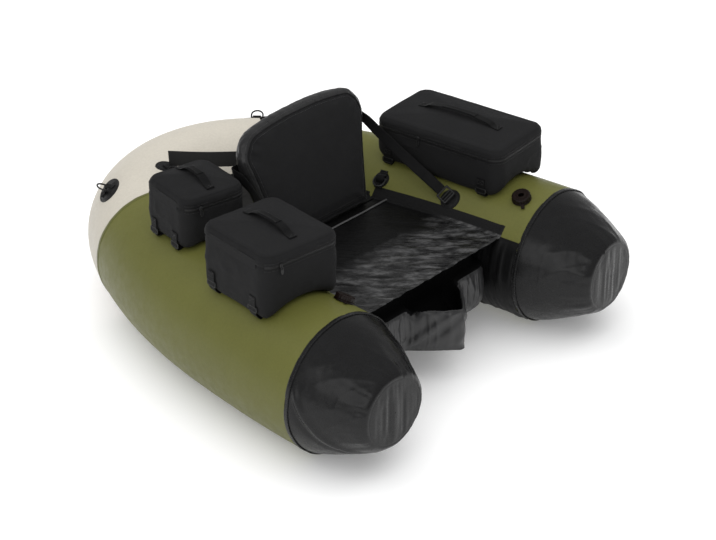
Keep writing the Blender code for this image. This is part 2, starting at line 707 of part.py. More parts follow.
def rounded_rect(a, b, r):
    """Plan outline of a box with half sizes a, b and corner radius r."""
    pts = []
    for cx, cy, base_a in ((a - r, b - r, 0), (-a + r, b - r, 90), (-a + r, -b + r, 180),
                           (a - r, -b + r, 270)):
        for k in range(CORNER_STEPS + 1):
            t = math.radians(base_a + 90 * k / CORNER_STEPS)
            pts.append((cx + r * math.cos(t), cy + r * math.sin(t)))
    return pts


def bag(name, cx, cy, turn, across, along, height, low_z):
    place = Matrix.Translation((cx, cy, 0)) @ Matrix.Rotation(math.radians(turn), 4, "Z")
    outer_side = 1 if cx > 0 else -1
    top = low_z + height
    split = top - LID_H
    a, b, r = across / 2, along / 2, 0.036

    def level(inset, z, scale=1.0):
        line = []
        for x, y in rounded_rect(a - inset, b - inset, max(r - inset, 0.004)):
            p = place @ Vector((x * scale, y * scale, 0))
            p.z = z
            line.append(p)
        return line

    def saddle(tag, lift):
        """The pontoon, grown by `lift`: what the bag's underside is shaped to."""
        side = 1 if cx > 0 else -1
        grown = (TUBE_R + lift) / math.cos(math.pi / SADDLE_SIDES)
        stations = [side * s for s in spread(COVER_SEAM, LEG_END, 8)]
        return cutter(name + tag, *loft([ring(s, grown, SADDLE_SIDES) for s in stations],
                                        start="face", end="face"))

    mid = place @ Vector((0, 0, 0))
    w = BAG_WALL
    body = [level(0.006, low_z), level(0.0, low_z + 0.012),
            level(-0.002, (low_z + split) / 2), level(0.0, split - 0.0004)]
    room = [level(0.005 + w, low_z + w), level(w, low_z + 0.014),
            level(w - 0.002, (low_z + split) / 2), level(w, split + 0.010)]
    shell = add(name + "_body", *loft(body, start="face", end="face"), "bag_cloth", sharp=60)
    inside = cutter(name + "_room", *loft(room, start="face", end="face"))
    boolean(inside, saddle("_floor", BAG_GAP + w))
    boolean(shell, inside)
    boolean(shell, saddle("_saddle", BAG_GAP))

    hinge = place @ Vector((outer_side * (a + 0.0012), 0, 0))
    hinge.z = split
    lid_top = Vector((mid.x, mid.y, top))
    lid_in = Vector((mid.x, mid.y, top - w))
    lid = [
        level(0.0, top - 0.0005, 0.45), level(0.004, top - 0.004, 0.90), level(0.0, top - 0.015),
        level(0.0, split + 0.0004), level(w, split + 0.0004), level(w, top - 0.017),
        level(0.004 + w, top - 0.004 - w, 0.89), level(w, top - 0.0005 - w, 0.45),
    ]
    axis = bpy.data.objects.new(name + "_lid_axis", None)
    axis.location = hinge
    bpy.context.scene.collection.objects.link(axis)
    add(name + "_lid", *loft(lid, start=lid_top, end=lid_in), "bag_cloth", origin=hinge,
        sharp=60, parent=axis)

    # webbing carry handle, fore and aft on the lid
    reach = along * 0.27
    path = []
    for y, z in ((-reach - 0.022, 0.0018), (-reach, 0.0022), (-reach + 0.012, 0.0100),
                 (-reach * 0.4, 0.0150), (reach * 0.4, 0.0150), (reach - 0.012, 0.0100),
                 (reach, 0.0022), (reach + 0.022, 0.0018)):
        p = place @ Vector((0, y, 0))
        p.z = top + z
        path.append(p)
    add(name + "_handle", *band(path, place.to_3x3() @ Vector((1, 0, 0)), 0.024, 0.0024),
        "webbing", origin=hinge, sharp=50, parent=axis)

    # zip slider with its pull tab: on the inner side, or on the front near the outer corner
    if cx > 0:
        here, outward, run = Vector((-a - 0.0032, 0.055, 0)), Vector((-1, 0, 0)), Vector((0, 1, 0))
    else:
        here, outward, run = Vector((-a + 0.045, -b - 0.0032, 0)), Vector((0, -1, 0)), Vector((1, 0, 0))
    origin = place @ here
    origin.z = split
    rot = place.to_3x3()
    out_w, run_w, up_w = rot @ outward, rot @ run, Vector((0, 0, 1))
    # side profile of slider and tab, in the plane of out and up
    profile = [(-0.0022, 0.0055), (0.0030, 0.0050), (0.0038, 0.0), (0.0052, -0.022), (0.0034, -0.0225),
               (0.0018, -0.0055), (-0.0022, -0.0055)]
    rings = []
    for half in (-0.0045, 0.0045):
        rings.append([origin + out_w * p + up_w * q + run_w * half for p, q in profile])
    add(name + "_zip_slider", *loft(rings, start="face", end="face"), "black_plastic",
        origin=origin, sharp=40)

    # two straps pass under the bag on the pontoon and up both of its sides
    for tag, k in (("front", -1), ("rear", 1)):
        y_local = k * (along / 2 - 0.050)
        wall_x = a + 0.0046
        belly = [-wall_x + 0.001] + [u * (a - 0.010) for u in spread(-1.0, 1.0, 14)] + [wall_x - 0.001]
        path = []
        for x, z in ([(-wall_x, 0.066), (-wall_x, 0.038), (-wall_x, 0.012)]
                     + [(x, None) for x in belly]
                     + [(wall_x, 0.012), (wall_x, 0.038), (wall_x, 0.066)]):
            p = place @ Vector((x, y_local, 0))
            skin = tube_top(p.x, p.y, 0.0027)
            p.z = low_z + z if z is not None else max(skin, low_z - 0.0042)
            if z is not None:
                p.z = max(p.z, skin + 0.004)
            path.append(p)
        add(f"{name}_{tag}_strap", *band(path, rot @ Vector((0, 1, 0)), 0.025, 0.0018),
            "webbing", sharp=50)


for spec in BAGS:
    bag(*spec)
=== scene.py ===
"""Float tube: the soft and detailed pieces that are seen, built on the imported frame.

Metres, +Z up. The open front and the bow caps point to -Y, the right pontoon is
at -X. Cloth pieces carry a map named "cloth" that measures the cloth in metres,
so that every weave has its real size.
"""
import math

import bmesh
import bpy
import numpy as np
from mathutils import Matrix, Vector

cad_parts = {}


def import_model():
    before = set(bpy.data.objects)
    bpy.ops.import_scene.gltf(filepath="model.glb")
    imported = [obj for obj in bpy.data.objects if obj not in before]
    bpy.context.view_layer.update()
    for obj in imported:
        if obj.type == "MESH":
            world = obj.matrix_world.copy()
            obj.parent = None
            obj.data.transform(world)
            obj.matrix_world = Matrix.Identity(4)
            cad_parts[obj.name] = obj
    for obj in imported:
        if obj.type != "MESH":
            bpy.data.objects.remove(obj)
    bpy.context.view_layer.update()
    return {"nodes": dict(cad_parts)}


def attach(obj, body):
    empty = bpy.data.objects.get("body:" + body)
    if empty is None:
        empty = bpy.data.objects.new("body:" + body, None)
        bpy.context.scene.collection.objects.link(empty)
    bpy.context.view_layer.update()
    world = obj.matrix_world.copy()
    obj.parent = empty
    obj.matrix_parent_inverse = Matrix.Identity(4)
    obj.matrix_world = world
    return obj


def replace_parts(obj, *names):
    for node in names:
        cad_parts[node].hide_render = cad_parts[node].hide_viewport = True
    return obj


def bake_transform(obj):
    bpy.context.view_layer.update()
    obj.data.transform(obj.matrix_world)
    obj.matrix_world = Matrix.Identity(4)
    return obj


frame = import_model()
NODES = frame["nodes"]


# ---------------------------------------------------------------- dimensions
TUBE_R = 0.1915
TUBE_Z = TUBE_R * math.cos(math.pi / 20)
STERN_Y = 0.5086
COVER_SEAM = 0.340
LEG_END = 1.190
BOW_LENGTH = 0.1945
BOW_DISC_R = 0.1037
BOW_POWER = 1.25
BEND = ((0.00, 0.248), (0.19, 0.275), (0.38, 1.71), (0.57, 1.19),
        (0.81, 2.93), (1.05, 3.33), (1.34, 5.70))
DECK_Z = 0.2930
DECK_T = 0.006
DECK_FRONT = -0.4494
DECK_MID = 0.2912          # middle of the deck cloth
DECK_BREAK = -0.0300
CUSHION_TOP = 0.2855
CUSHION_BOTTOM = 0.0960
CUSHION_FRONT = -0.4430
CUSHION_REAR = -0.0700
POMMEL_HALF = 0.094
BACK_TILT = math.radians(16.0)
BACK_FOOT = Vector((0.0, -0.0665, 0.2950))
BACK_H = 0.362
BACK_HALF_LOW = 0.178
BACK_HALF_TOP = 0.2400
BACK_T = 0.052
HINGE = Vector((0.0, -0.0400, 0.2955))
BAG_GAP = 0.0062
BAG_WALL = 0.004
LID_H = 0.034
STRAP_W = 0.042
FRONT_STRAP_W = 0.030
FRONT_ANCHORS = {"left": (0.925, 131.0), "right": (0.920, 135.5)}
REAR_ANCHORS = {"left": (0.262, 100.0), "right": (0.190, 102.0)}
VALVES = {"left": (1.126, 110.0), "right": (1.110, 120.0)}
BAGS = (
    ("right_front_bag", -0.4168, -0.2482, -7.4, 0.241, 0.267, 0.189, 0.3530),
    ("right_rear_bag", -0.3413, 0.0960, -11.5, 0.192, 0.200, 0.175, 0.3530),
    ("left_bag", 0.4330, -0.1717, 5.0, 0.240, 0.415, 0.158, 0.3510),
)
HANDS = ((1, "left"), (-1, "right"))


# ---------------------------------------------------------------- smooth noise
def lattice(ix, iy, iz, seed):
    n = (ix * 374761393 + iy * 668265263 + iz * 1440662683 + seed * 974634777) & 0x7FFFFFFF
    n = ((n ^ (n >> 13)) * 1274126177) & 0x7FFFFFFF
    return ((n ^ (n >> 16)) & 0xFFFF) / 32767.5 - 1.0


def noise(p, scale=1.0, seed=0):
    """Smooth value noise from -1 to 1 at an array of points (..., 3)."""
    q = np.asarray(p, float) * np.asarray(scale, float)
    i = np.floor(q).astype(np.int64)
    f = q - i
    f = f * f * f * (f * (f * 6 - 15) + 10)
    total = 0.0
    for dx in (0, 1):
        wx = f[..., 0] if dx else 1 - f[..., 0]
        for dy in (0, 1):
            wy = f[..., 1] if dy else 1 - f[..., 1]
            for dz in (0, 1):
                wz = f[..., 2] if dz else 1 - f[..., 2]
                total = total + wx * wy * wz * lattice(i[..., 0] + dx, i[..., 1] + dy,
                                                       i[..., 2] + dz, seed)
    return total


def fbm(p, scale, octaves=3, seed=0):
    total, size = 0.0, 1.0
    for k in range(octaves):
        total = total + noise(p, np.asarray(scale, float) * 2 ** k, seed + 17 * k) * size
        size *= 0.5
    return total / (2 - 2 ** (1 - octaves))


def crease(p, scale, seed=0, sharp=3.0):
    """Narrow raised folds, 0 to 1."""
    return np.clip(1 - np.abs(noise(p, scale, seed)) * 1.6, 0, 1) ** sharp


def vec3(*parts):
    shape = np.broadcast(*[np.asarray(c, float) for c in parts]).shape
    return np.stack([np.broadcast_to(np.asarray(c, float), shape) for c in parts], -1)


def step(x, a, b):
    k = np.clip((np.asarray(x, float) - a) / (b - a), 0.0, 1.0)
    return k * k * (3 - 2 * k)


# ---------------------------------------------------------------- the pontoon's line
def bend(s):
    for (s0, r0), (s1, r1) in zip(BEND, BEND[1:]):
        if s <= s1:
            k = (s - s0) / (s1 - s0)
            return (1 - k) / r0 + k / r1
    return 1 / BEND[-1][1]


STEP = 0.002
SPINE = [(0.0, STERN_Y, 0.0)]
for index in range(int(round(LEG_END / STEP))):
    px, py, pa = SPINE[-1]
    turn = (bend(index * STEP) + bend((index + 1) * STEP)) / 2 * STEP
    SPINE.append((px + math.cos(pa + turn / 2) * STEP,
                  py - math.sin(pa + turn / 2) * STEP, pa + turn))
LINE = np.array(SPINE)
LINE_D = np.arange(len(LINE)) * STEP


def spine(s):
    """Centre points, tangents away from the stern and outward sides at signed
    distances s from the stern centre; s > 0 is the left pontoon."""
    s = np.asarray(s, float)
    side = np.where(s >= 0, 1.0, -1.0)
    d = np.abs(s)
    dd = np.minimum(d, LEG_END)
    x, y, a = (np.interp(dd, LINE_D, LINE[:, k]) for k in range(3))
    x = x + np.cos(a) * (d - dd)
    y = y - np.sin(a) * (d - dd)
    centre = vec3(side * x, y, TUBE_Z)
    ahead = vec3(side * np.cos(a), -np.sin(a), 0.0)
    out = vec3(side * np.sin(a), np.cos(a), 0.0)
    return centre, ahead, out


def rest(z):
    """The underside lies flat on the ground."""
    return 0.5 * (z + np.sqrt(z * z + 0.0016 ** 2))


def tube(s, f, r):
    """Points at angle f (radians, 0 outward) and radius r round the line."""
    s, f, r = np.broadcast_arrays(s, f, r)
    centre, _, out = spine(s)
    p = centre + out * (r * np.cos(f))[..., None]
    p[..., 2] = rest(p[..., 2] + r * np.sin(f))
    return p


def on_tube(s, phi, lift=0.0):
    centre, ahead, out = (Vector(v) for v in spine(s))
    f = math.radians(phi)
    normal = out * math.cos(f) + Vector((0, 0, math.sin(f)))
    grow = out * -math.sin(f) + Vector((0, 0, math.cos(f)))
    return centre + normal * (TUBE_R + lift), normal, ahead, grow


def frame_at(s, phi, lift):
    point, normal, ahead, _ = on_tube(s, phi, lift)
    y_axis = normal.cross(ahead).normalized()
    m = Matrix((ahead, y_axis, normal)).transposed().to_4x4()
    m.translation = point
    return m


def tube_offset(x, y):
    x, y = np.asarray(x, float), np.asarray(y, float)
    pts = LINE[::3, :2]
    return np.min(np.hypot(np.abs(x)[..., None] - pts[:, 0], y[..., None] - pts[:, 1]), -1)


def tube_top(x, y, lift=0.0):
    d, r = tube_offset(x, y), TUBE_R + lift
    return np.where(d < r, TUBE_Z + np.sqrt(np.maximum(r * r - d * d, 0)), -1.0)


def inner_x(y, z):
    """Half width between the pontoons at height z."""
    y = np.asarray(y, float)
    pts = LINE[90:]
    best = pts[np.argmin(np.abs(pts[:, 1] - y[..., None]), -1)]
    reach = np.sqrt(np.maximum(TUBE_R ** 2 - (np.asarray(z, float) - TUBE_Z) ** 2, 0.0))
    return best[..., 0] - reach / np.maximum(np.sin(best[..., 2]), 0.3)


# ---------------------------------------------------------------- mesh building
def metric(pts, close_rows=False, close_cols=False):
    """A cloth map in metres for a grid of points."""
    def along(p, close, axis):
        step_ = np.diff(p, axis=axis)
        length = np.linalg.norm(step_, axis=-1).mean(1 - axis)
        total = np.concatenate([[0.0], np.cumsum(length)])
        if close:
            last = np.take(p, 0, axis) - np.take(p, -1, axis)
            total = np.append(total, total[-1] + np.linalg.norm(last, axis=-1).mean())
        return total
    v, u = along(pts, close_rows, 0), along(pts, close_cols, 1)
    return np.stack(np.meshgrid(u, v), -1)


def flat_map(pts, close_cols=True):
    """A cloth map from plan coordinates, for tops and floors."""
    m = pts[..., :2]
    if close_cols:
        m = np.concatenate([m, m[:, :1]], 1)
    return m


class Shell:
    """Grids of points that become one mesh."""

    def __init__(self):
        self.points, self.quads, self.maps, self.slots, self.count = [], [], [], [], 0

    def grid(self, pts, uv=None, close_rows=False, close_cols=False, mat=0):
        pts = np.asarray(pts, float)
        rows, cols = pts.shape[:2]
        base = self.count
        self.points.append(pts.reshape(-1, 3))
        self.count += rows * cols
        if uv is None:
            uv = metric(pts, close_rows, close_cols)
        i, j = np.meshgrid(np.arange(rows if close_rows else rows - 1),
                           np.arange(cols if close_cols else cols - 1), indexing="ij")
        i2, j2 = (i + 1) % rows, (j + 1) % cols
        self.quads.append(np.stack([base + i * cols + j, base + i * cols + j2,
                                    base + i2 * cols + j2, base + i2 * cols + j],
                                   -1).reshape(-1, 4))
        self.maps.append(np.stack([uv[i, j], uv[i, j + 1], uv[i + 1, j + 1], uv[i + 1, j]],
                                  -2).reshape(-1, 4, 2))
        self.slots.append(np.full(i.size, mat))
        return self

    def build(self, name, mats, sharp=None, weld=2e-6):
        verts = np.concatenate(self.points)
        quads = np.concatenate(self.quads)
        mesh = bpy.data.meshes.new(name)
        mesh.from_pydata(verts.tolist(), [], quads.tolist())
        layer = mesh.uv_layers.new(name="cloth")
        layer.data.foreach_set("uv", np.concatenate(self.maps).astype(np.float32).ravel())
        mesh.polygons.foreach_set("material_index", np.concatenate(self.slots).astype(np.int32))
        bm = bmesh.new()
        bm.from_mesh(mesh)
        bmesh.ops.remove_doubles(bm, verts=bm.verts, dist=weld)
        bmesh.ops.dissolve_degenerate(bm, dist=1e-7, edges=bm.edges)
        bmesh.ops.recalc_face_normals(bm, faces=bm.faces)
        bm.to_mesh(mesh)
        bm.free()
        mesh.shade_smooth()
        if sharp:
            mesh.set_sharp_from_angle(angle=math.radians(sharp))
        for mat in (mats if isinstance(mats, (list, tuple)) else [mats]):
            mesh.materials.append(mat)
        obj = bpy.data.objects.new(name, mesh)
        bpy.context.scene.collection.objects.link(obj)
        return obj


def smooth_loop(points, n, closed=True, power=0.5):
    """n points spread evenly along a smooth curve through the given points."""
    pts = [np.array(p, float) for p in points]
    if closed:
        ring = [pts[-1]] + pts + pts[:2]
    else:
        ring = [2 * pts[0] - pts[1]] + pts + [2 * pts[-1] - pts[-2]]
    fine = []
    for a, b, c, d in zip(ring, ring[1:], ring[2:], ring[3:]):
        for t in np.linspace(0, 1, 24, endpoint=False):
            fine.append(0.5 * (2 * b + (c - a) * t + (2 * a - 5 * b + 4 * c - d) * t * t
                               + (3 * b - a - 3 * c + d) * t ** 3))
    fine.append(fine[0] if closed else pts[-1])
    fine = np.array(fine)
    far = np.concatenate([[0], np.cumsum(np.linalg.norm(np.diff(fine, axis=0), axis=1))])
    where = np.linspace(0, far[-1], n + 1 if closed else n)
    if closed:
        where = where[:-1]
    return np.stack([np.interp(where, far, fine[:, k]) for k in range(fine.shape[1])], -1)


def sweep(path, side, profile, name=None):
    """A closed section `profile` (across, up) carried along `path`; `side` is the
    direction of the section's width at each point. Returns a (n, m, 3) grid."""
    path = np.asarray(path, float)
    n = len(path)
    side = np.broadcast_to(np.asarray(side, float), path.shape).copy()
    ahead = np.gradient(path, axis=0)
    ahead /= np.linalg.norm(ahead, axis=1)[:, None]
    side -= ahead * np.sum(side * ahead, 1)[:, None]
    side /= np.linalg.norm(side, axis=1)[:, None]
    up = np.cross(ahead, side)
    profile = np.asarray(profile, float)
    if profile.ndim == 2:
        profile = np.broadcast_to(profile, (n,) + profile.shape)
    return (path[:, None] + side[:, None] * profile[..., :1] + up[:, None] * profile[..., 1:])


def capped(shell, grid, mat=0):
    """A swept grid with both ends closed by shrinking its end sections."""
    rows = [grid[0].mean(0, keepdims=True).repeat(grid.shape[1], 0)]
    rows += list(grid)
    rows.append(grid[-1].mean(0, keepdims=True).repeat(grid.shape[1], 0))
    shell.grid(np.array(rows), close_cols=True, mat=mat)


def strap_section(width, thick, ribs=0, rib=0.0):
    """Section of a woven strap: a flat oval with rounded selvedges."""
    pts = []
    n = 12
    for k in range(n + 1):
        x = -width / 2 + thick / 2 + (width - thick) * k / n
        pts.append((x, thick / 2 + (rib * math.cos(2 * math.pi * ribs * k / n) if ribs else 0)))
    for k in range(1, 6):
        a = math.pi / 2 - math.pi * k / 6
        pts.append((width / 2 - thick / 2 + thick / 2 * math.cos(a), thick / 2 * math.sin(a)))
    for k in range(n + 1):
        x = width / 2 - thick / 2 - (width - thick) * k / n
        pts.append((x, -thick / 2 - (rib * math.cos(2 * math.pi * ribs * k / n) if ribs else 0)))
    for k in range(1, 6):
        a = -math.pi / 2 - math.pi * k / 6
        pts.append((-width / 2 + thick / 2 + thick / 2 * math.cos(a), thick / 2 * math.sin(a)))
    return np.array(pts)


def circle(r, n=10):
    a = np.arange(n) * 2 * math.pi / n
    return np.stack([r * np.cos(a), r * np.sin(a)], -1)


def stitches(shell, path, normal, pitch=0.0046, length=0.0033, thick=0.0008, mat=0,
             closed=False):
    """A row of sewing stitches lying on a surface along `path`."""
    path = np.asarray(path, float)
    normal = np.array(np.broadcast_to(np.asarray(normal, float), path.shape))
    if closed:
        path, normal = (np.concatenate([v, v[:1]]) for v in (path, normal))
    far = np.concatenate([[0], np.cumsum(np.linalg.norm(np.diff(path, axis=0), axis=1))])
    count = max(int(far[-1] / pitch), 1)
    mid = (np.arange(count) + 0.5) * far[-1] / count

    def at(values, shift):
        return np.stack([np.interp(mid + shift, far, values[:, c]) for c in range(3)], -1)

    up = at(normal, 0.0)
    up /= np.linalg.norm(up, axis=1)[:, None]
    along = at(path, length / 2) - at(path, -length / 2)
    along /= np.maximum(np.linalg.norm(along, axis=1), 1e-9)[:, None]
    side = np.cross(up, along)
    rings = []
    for shift, lift, size in ((-0.5, -0.35, 0.3), (-0.2, 0.3, 1.0), (0.2, 0.3, 1.0),
                              (0.5, -0.35, 0.3)):
        centre = at(path, shift * length) + up * (lift * thick)
        half = size * thick / 2
        rings.append(np.stack([centre + side * half, centre + up * half, centre - side * half,
                               centre - up * half], 1))
    pts = np.stack(rings, 1)
    base = shell.count + (np.arange(count) * 16)[:, None]
    quads = []
    for row in range(3):
        for k in range(4):
            k2 = (k + 1) % 4
            quads.append([row * 4 + k, row * 4 + k2, row * 4 + 4 + k2, row * 4 + 4 + k])
    quads += [[3, 2, 1, 0], [12, 13, 14, 15]]
    quads = (base[:, None] + np.array(quads)[None]).reshape(-1, 4)
    flat = pts.reshape(-1, 3)
    shell.points.append(flat)
    shell.quads.append(quads)
    spots = flat[quads - shell.count][..., :2]
    shell.maps.append(spots)
    shell.slots.append(np.full(len(quads), mat))
    shell.count += len(flat)
    return shell


# ---------------------------------------------------------------- materials
class Look:
    """A node material under construction."""

    def __init__(self, name, rough=0.5, **sockets):
        self.mat = bpy.data.materials.new(name)
        self.mat.use_nodes = True
        self.tree = self.mat.node_tree
        self.bsdf = self.tree.nodes["Principled BSDF"]
        self.set(Roughness=rough, **sockets)
        self.normal = None

    def set(self, **sockets):
        for key, value in sockets.items():
            self.bsdf.inputs[key.replace("_", " ")].default_value = value

    def node(self, kind, **props):
        new = self.tree.nodes.new("ShaderNode" + kind)
        for key, value in props.items():
            setattr(new, key, value)
        return new

    def link(self, a, b):
        self.tree.links.new(a, b)

    def math(self, op, a, b=None):
        new = self.node("Math", operation=op)
        for socket, value in zip(new.inputs, (a, b)):
            if value is None:
                continue
            if isinstance(value, (int, float)):
                socket.default_value = value
            else:
                self.link(value, socket)
        return new.outputs[0]

    def cloth(self):
        return self.node("UVMap", uv_map="cloth").outputs[0]

    def object(self):
        return self.node("TexCoord").outputs["Object"]

    def noise(self, where, scale, detail=3.0, rough=0.55, stretch=None):
        if stretch is not None:
            turn = self.node("Mapping")
            turn.inputs["Scale"].default_value = stretch
            self.link(where, turn.inputs["Vector"])
            where = turn.outputs[0]
        new = self.node("TexNoise")
        new.inputs["Scale"].default_value = scale
        new.inputs["Detail"].default_value = detail
        new.inputs["Roughness"].default_value = rough
        self.link(where, new.inputs["Vector"])
        return new.outputs["Fac"]

    def ramp(self, fac, stops):
        new = self.node("ValToRGB")
        ramp = new.color_ramp
        while len(ramp.elements) < len(stops):
            ramp.elements.new(0.5)
        for element, (place, colour) in zip(ramp.elements, stops):
            element.position = place
            element.color = tuple(colour) + (1,) if len(colour) == 3 else colour
        self.link(fac, new.inputs[0])
        return new.outputs[0]

    def level(self, fac, low, high, at=(0.0, 1.0)):
        new = self.node("MapRange")
        for key, value in zip(("From Min", "From Max", "To Min", "To Max"), (*at, low, high)):
            new.inputs[key].default_value = value
        self.link(fac, new.inputs["Value"])
        return new.outputs[0]

    def mix(self, fac, a, b, kind="MIX"):
        new = self.node("Mix", data_type="RGBA", blend_type=kind)
        for socket, value in ((new.inputs[0], fac), (new.inputs[6], a), (new.inputs[7], b)):
            if isinstance(value, (int, float)):
                socket.default_value = value
            elif isinstance(value, tuple):
                socket.default_value = value + (1,) if len(value) == 3 else value
            else:
                self.link(value, socket)
        return new.outputs[2]

    def bump(self, height, strength, distance):
        new = self.node("Bump")
        new.inputs["Strength"].default_value = strength
        new.inputs["Distance"].default_value = distance
        self.link(height, new.inputs["Height"])
        if self.normal is not None:
            self.link(self.normal, new.inputs["Normal"])
        self.normal = new.outputs[0]

    def weave(self, where, pitch_u, pitch_v):
        """Height of a plain weave with these thread pitches in metres."""
        parts = self.node("SeparateXYZ")
        self.link(where, parts.inputs[0])
        u = self.math("SINE", self.math("MULTIPLY", parts.outputs[0], math.pi / pitch_u))
        v = self.math("SINE", self.math("MULTIPLY", parts.outputs[1], math.pi / pitch_v))
        return self.math("ADD", self.math("MULTIPLY", self.math("MULTIPLY", u, v), 0.5), 0.5)

    def ribs(self, where, pitch, axis=1):
        parts = self.node("SeparateXYZ")
        self.link(where, parts.inputs[0])
        u = self.math("SINE", self.math("MULTIPLY", parts.outputs[axis], 2 * math.pi / pitch))
        return self.math("ADD", self.math("MULTIPLY", u, 0.5), 0.5)

    def done(self, colour=None, rough=None):
        if colour is not None:
            self.link(colour, self.bsdf.inputs["Base Color"])
        if rough is not None:
            self.link(rough, self.bsdf.inputs["Roughness"])
        if self.normal is not None:
            self.link(self.normal, self.bsdf.inputs["Normal"])
        return self.mat


def shade(colour, k):
    return tuple(min(c * k, 1.0) for c in colour)


def coated(name, colour, rough=(0.30, 0.45), spread=0.10, print_through=0.25, dust=None,
           mapped=True, pitch=0.0009, peel=0.10, ior=1.5, specular=0.5):
    """Coated cloth: smooth skin with the base weave just showing through it."""
    look = Look(name, IOR=ior, Specular_IOR_Level=specular)
    where = look.cloth() if mapped else look.object()
    space = look.object()
    broad = look.noise(space, 9.0, 3.0)
    fine = look.noise(space, 160.0, 4.0, 0.65)
    tone = look.ramp(broad, [(0.30, shade(colour, 1 - spread)), (0.70, shade(colour, 1 + spread))])
    speck = look.ramp(fine, [(0.35, shade(colour, 0.86)), (0.62, shade(colour, 1.08))])
    tone = look.mix(0.35, tone, speck)
    if dust:
        # rubbed places and dust that settle in patches
        wear_and_painted_glint = look.noise(space, 28.0, 5.0, 0.7)
        mask = look.level(wear_and_painted_glint, 0.0, 0.30, (0.58, 0.80))
        tone = look.mix(mask, tone, dust)
    weave = look.weave(where, pitch, pitch)
    look.bump(weave, print_through, 0.00012)
    look.bump(fine, peel, 0.0006)
    roughness = look.level(look.noise(space, 45.0, 4.0, 0.6), rough[0], rough[1], (0.3, 0.7))
    return look.done(tone, roughness)


def woven(name, colour, pitch=0.0011, rough=0.82, depth=0.5, spread=0.18, sheen=0.12,
          fuzz=0.25, mapped=True, coat_spec=0.25, pale=None):
    """Heavy plain-woven cloth with visible threads."""
    look = Look(name, rough=rough, Sheen_Weight=sheen, Sheen_Roughness=0.45,
                Specular_IOR_Level=coat_spec)
    look.set(Sheen_Tint=(0.55, 0.55, 0.57, 1.0))
    where = look.cloth() if mapped else look.object()
    space = look.object()
    weave = look.weave(where, pitch, pitch)
    threads = look.noise(where, 1.0, 2.0, stretch=(900.0, 60.0, 60.0))
    across = look.noise(where, 1.0, 2.0, stretch=(60.0, 900.0, 60.0))
    slub = look.math("MULTIPLY", look.math("ADD", threads, across), 0.5)
    tone = look.ramp(weave, [(0.15, shade(colour, 1 - spread)), (0.75, shade(colour, 1 + spread))])
    tone = look.mix(0.30, tone, look.ramp(slub, [(0.38, shade(colour, 0.72)),
                                                (0.62, shade(colour, 1.30))]))
    broad = look.noise(space, 14.0, 4.0, 0.6)
    tone = look.mix(look.level(broad, 0.0, 0.55, (0.45, 0.75)), tone,
                    pale or shade(colour, 1.25))
    look.bump(weave, depth, 0.00035)
    look.bump(look.noise(space, 420.0, 3.0, 0.7), fuzz, 0.0004)
    roughness = look.level(slub, rough - 0.08, min(rough + 0.10, 1.0), (0.35, 0.65))
    return look.done(tone, roughness)


def webbed(name, colour, rough=0.62):
    """Flat woven strap: ribs across its run and two heavier selvedges."""
    look = Look(name, Sheen_Weight=0.04, Sheen_Roughness=0.4, Specular_IOR_Level=0.16)
    where = look.cloth()
    space = look.object()
    ribs = look.ribs(where, 0.0021, 1)
    weave = look.weave(where, 0.0013, 0.00105)
    height = look.math("ADD", look.math("MULTIPLY", ribs, 0.6), look.math("MULTIPLY", weave, 0.4))
    tone = look.ramp(height, [(0.15, shade(colour, 0.55)), (0.85, shade(colour, 1.35))])
    patchy = look.noise(space, 60.0, 4.0, 0.6)
    tone = look.mix(look.level(patchy, 0.0, 0.35, (0.5, 0.78)), tone, shade(colour, 2.0))
    look.bump(height, 0.55, 0.0003)
    look.bump(look.noise(space, 700.0, 2.0), 0.2, 0.0003)
    return look.done(tone, look.level(height, rough + 0.12, rough - 0.06))


def moulded(name, colour, rough=(0.32, 0.46), grain=0.22, wear=1.8, specular=0.5):
    """Moulded plastic with a fine spark-eroded grain and edges that wear paler."""
    look = Look(name, Specular_IOR_Level=specular)
    space = look.object()
    grainy = look.noise(space, 1400.0, 2.0, 0.5)
    blotch = look.noise(space, 70.0, 3.0)
    tone = look.ramp(blotch, [(0.3, shade(colour, 0.85)), (0.7, shade(colour, 1.18))])
    edge = look.node("NewGeometry").outputs["Pointiness"]
    mask = look.level(edge, 0.0, 0.55, (0.52, 0.62))
    tone = look.mix(mask, tone, shade(colour, wear))
    look.bump(grainy, grain, 0.0002)
    return look.done(tone, look.level(look.noise(space, 220.0, 3.0), rough[0], rough[1], (0.3, 0.7)))


def metal(name, colour=(0.60, 0.60, 0.58), rough=(0.18, 0.36)):
    look = Look(name, Metallic=1.0)
    space = look.object()
    drawn = look.noise(space, 1.0, 3.0, stretch=(90.0, 1400.0, 1400.0))
    stain = look.noise(space, 130.0, 4.0, 0.65)
    tone = look.ramp(stain, [(0.35, shade(colour, 0.80)), (0.65, colour)])
    look.bump(drawn, 0.12, 0.0001)
    return look.done(tone, look.level(stain, rough[1], rough[0], (0.3, 0.7)))


def film(name, colour):
    """Translucent bladder film, milky and faintly creased."""
    look = Look(name, Specular_IOR_Level=0.6)
    space = look.object()
    cloud = look.noise(space, 22.0, 4.0)
    tone = look.ramp(cloud, [(0.3, shade(colour, 0.86)), (0.7, shade(colour, 1.08))])
    look.bump(look.noise(space, 90.0, 5.0, 0.7), 0.35, 0.002)
    return look.done(tone, look.level(cloud, 0.18, 0.34, (0.3, 0.7)))


def yarn(name, colour):
    """Twisted sewing thread."""
    look = Look(name, rough=0.55, Sheen_Weight=0.2)
    space = look.object()
    twist = look.noise(space, 1.0, 2.0, stretch=(2600.0, 900.0, 2600.0))
    tone = look.ramp(twist, [(0.35, shade(colour, 0.7)), (0.65, shade(colour, 1.3))])
    look.bump(twist, 0.5, 0.0002)
    return look.done(tone, look.level(twist, 0.45, 0.65))


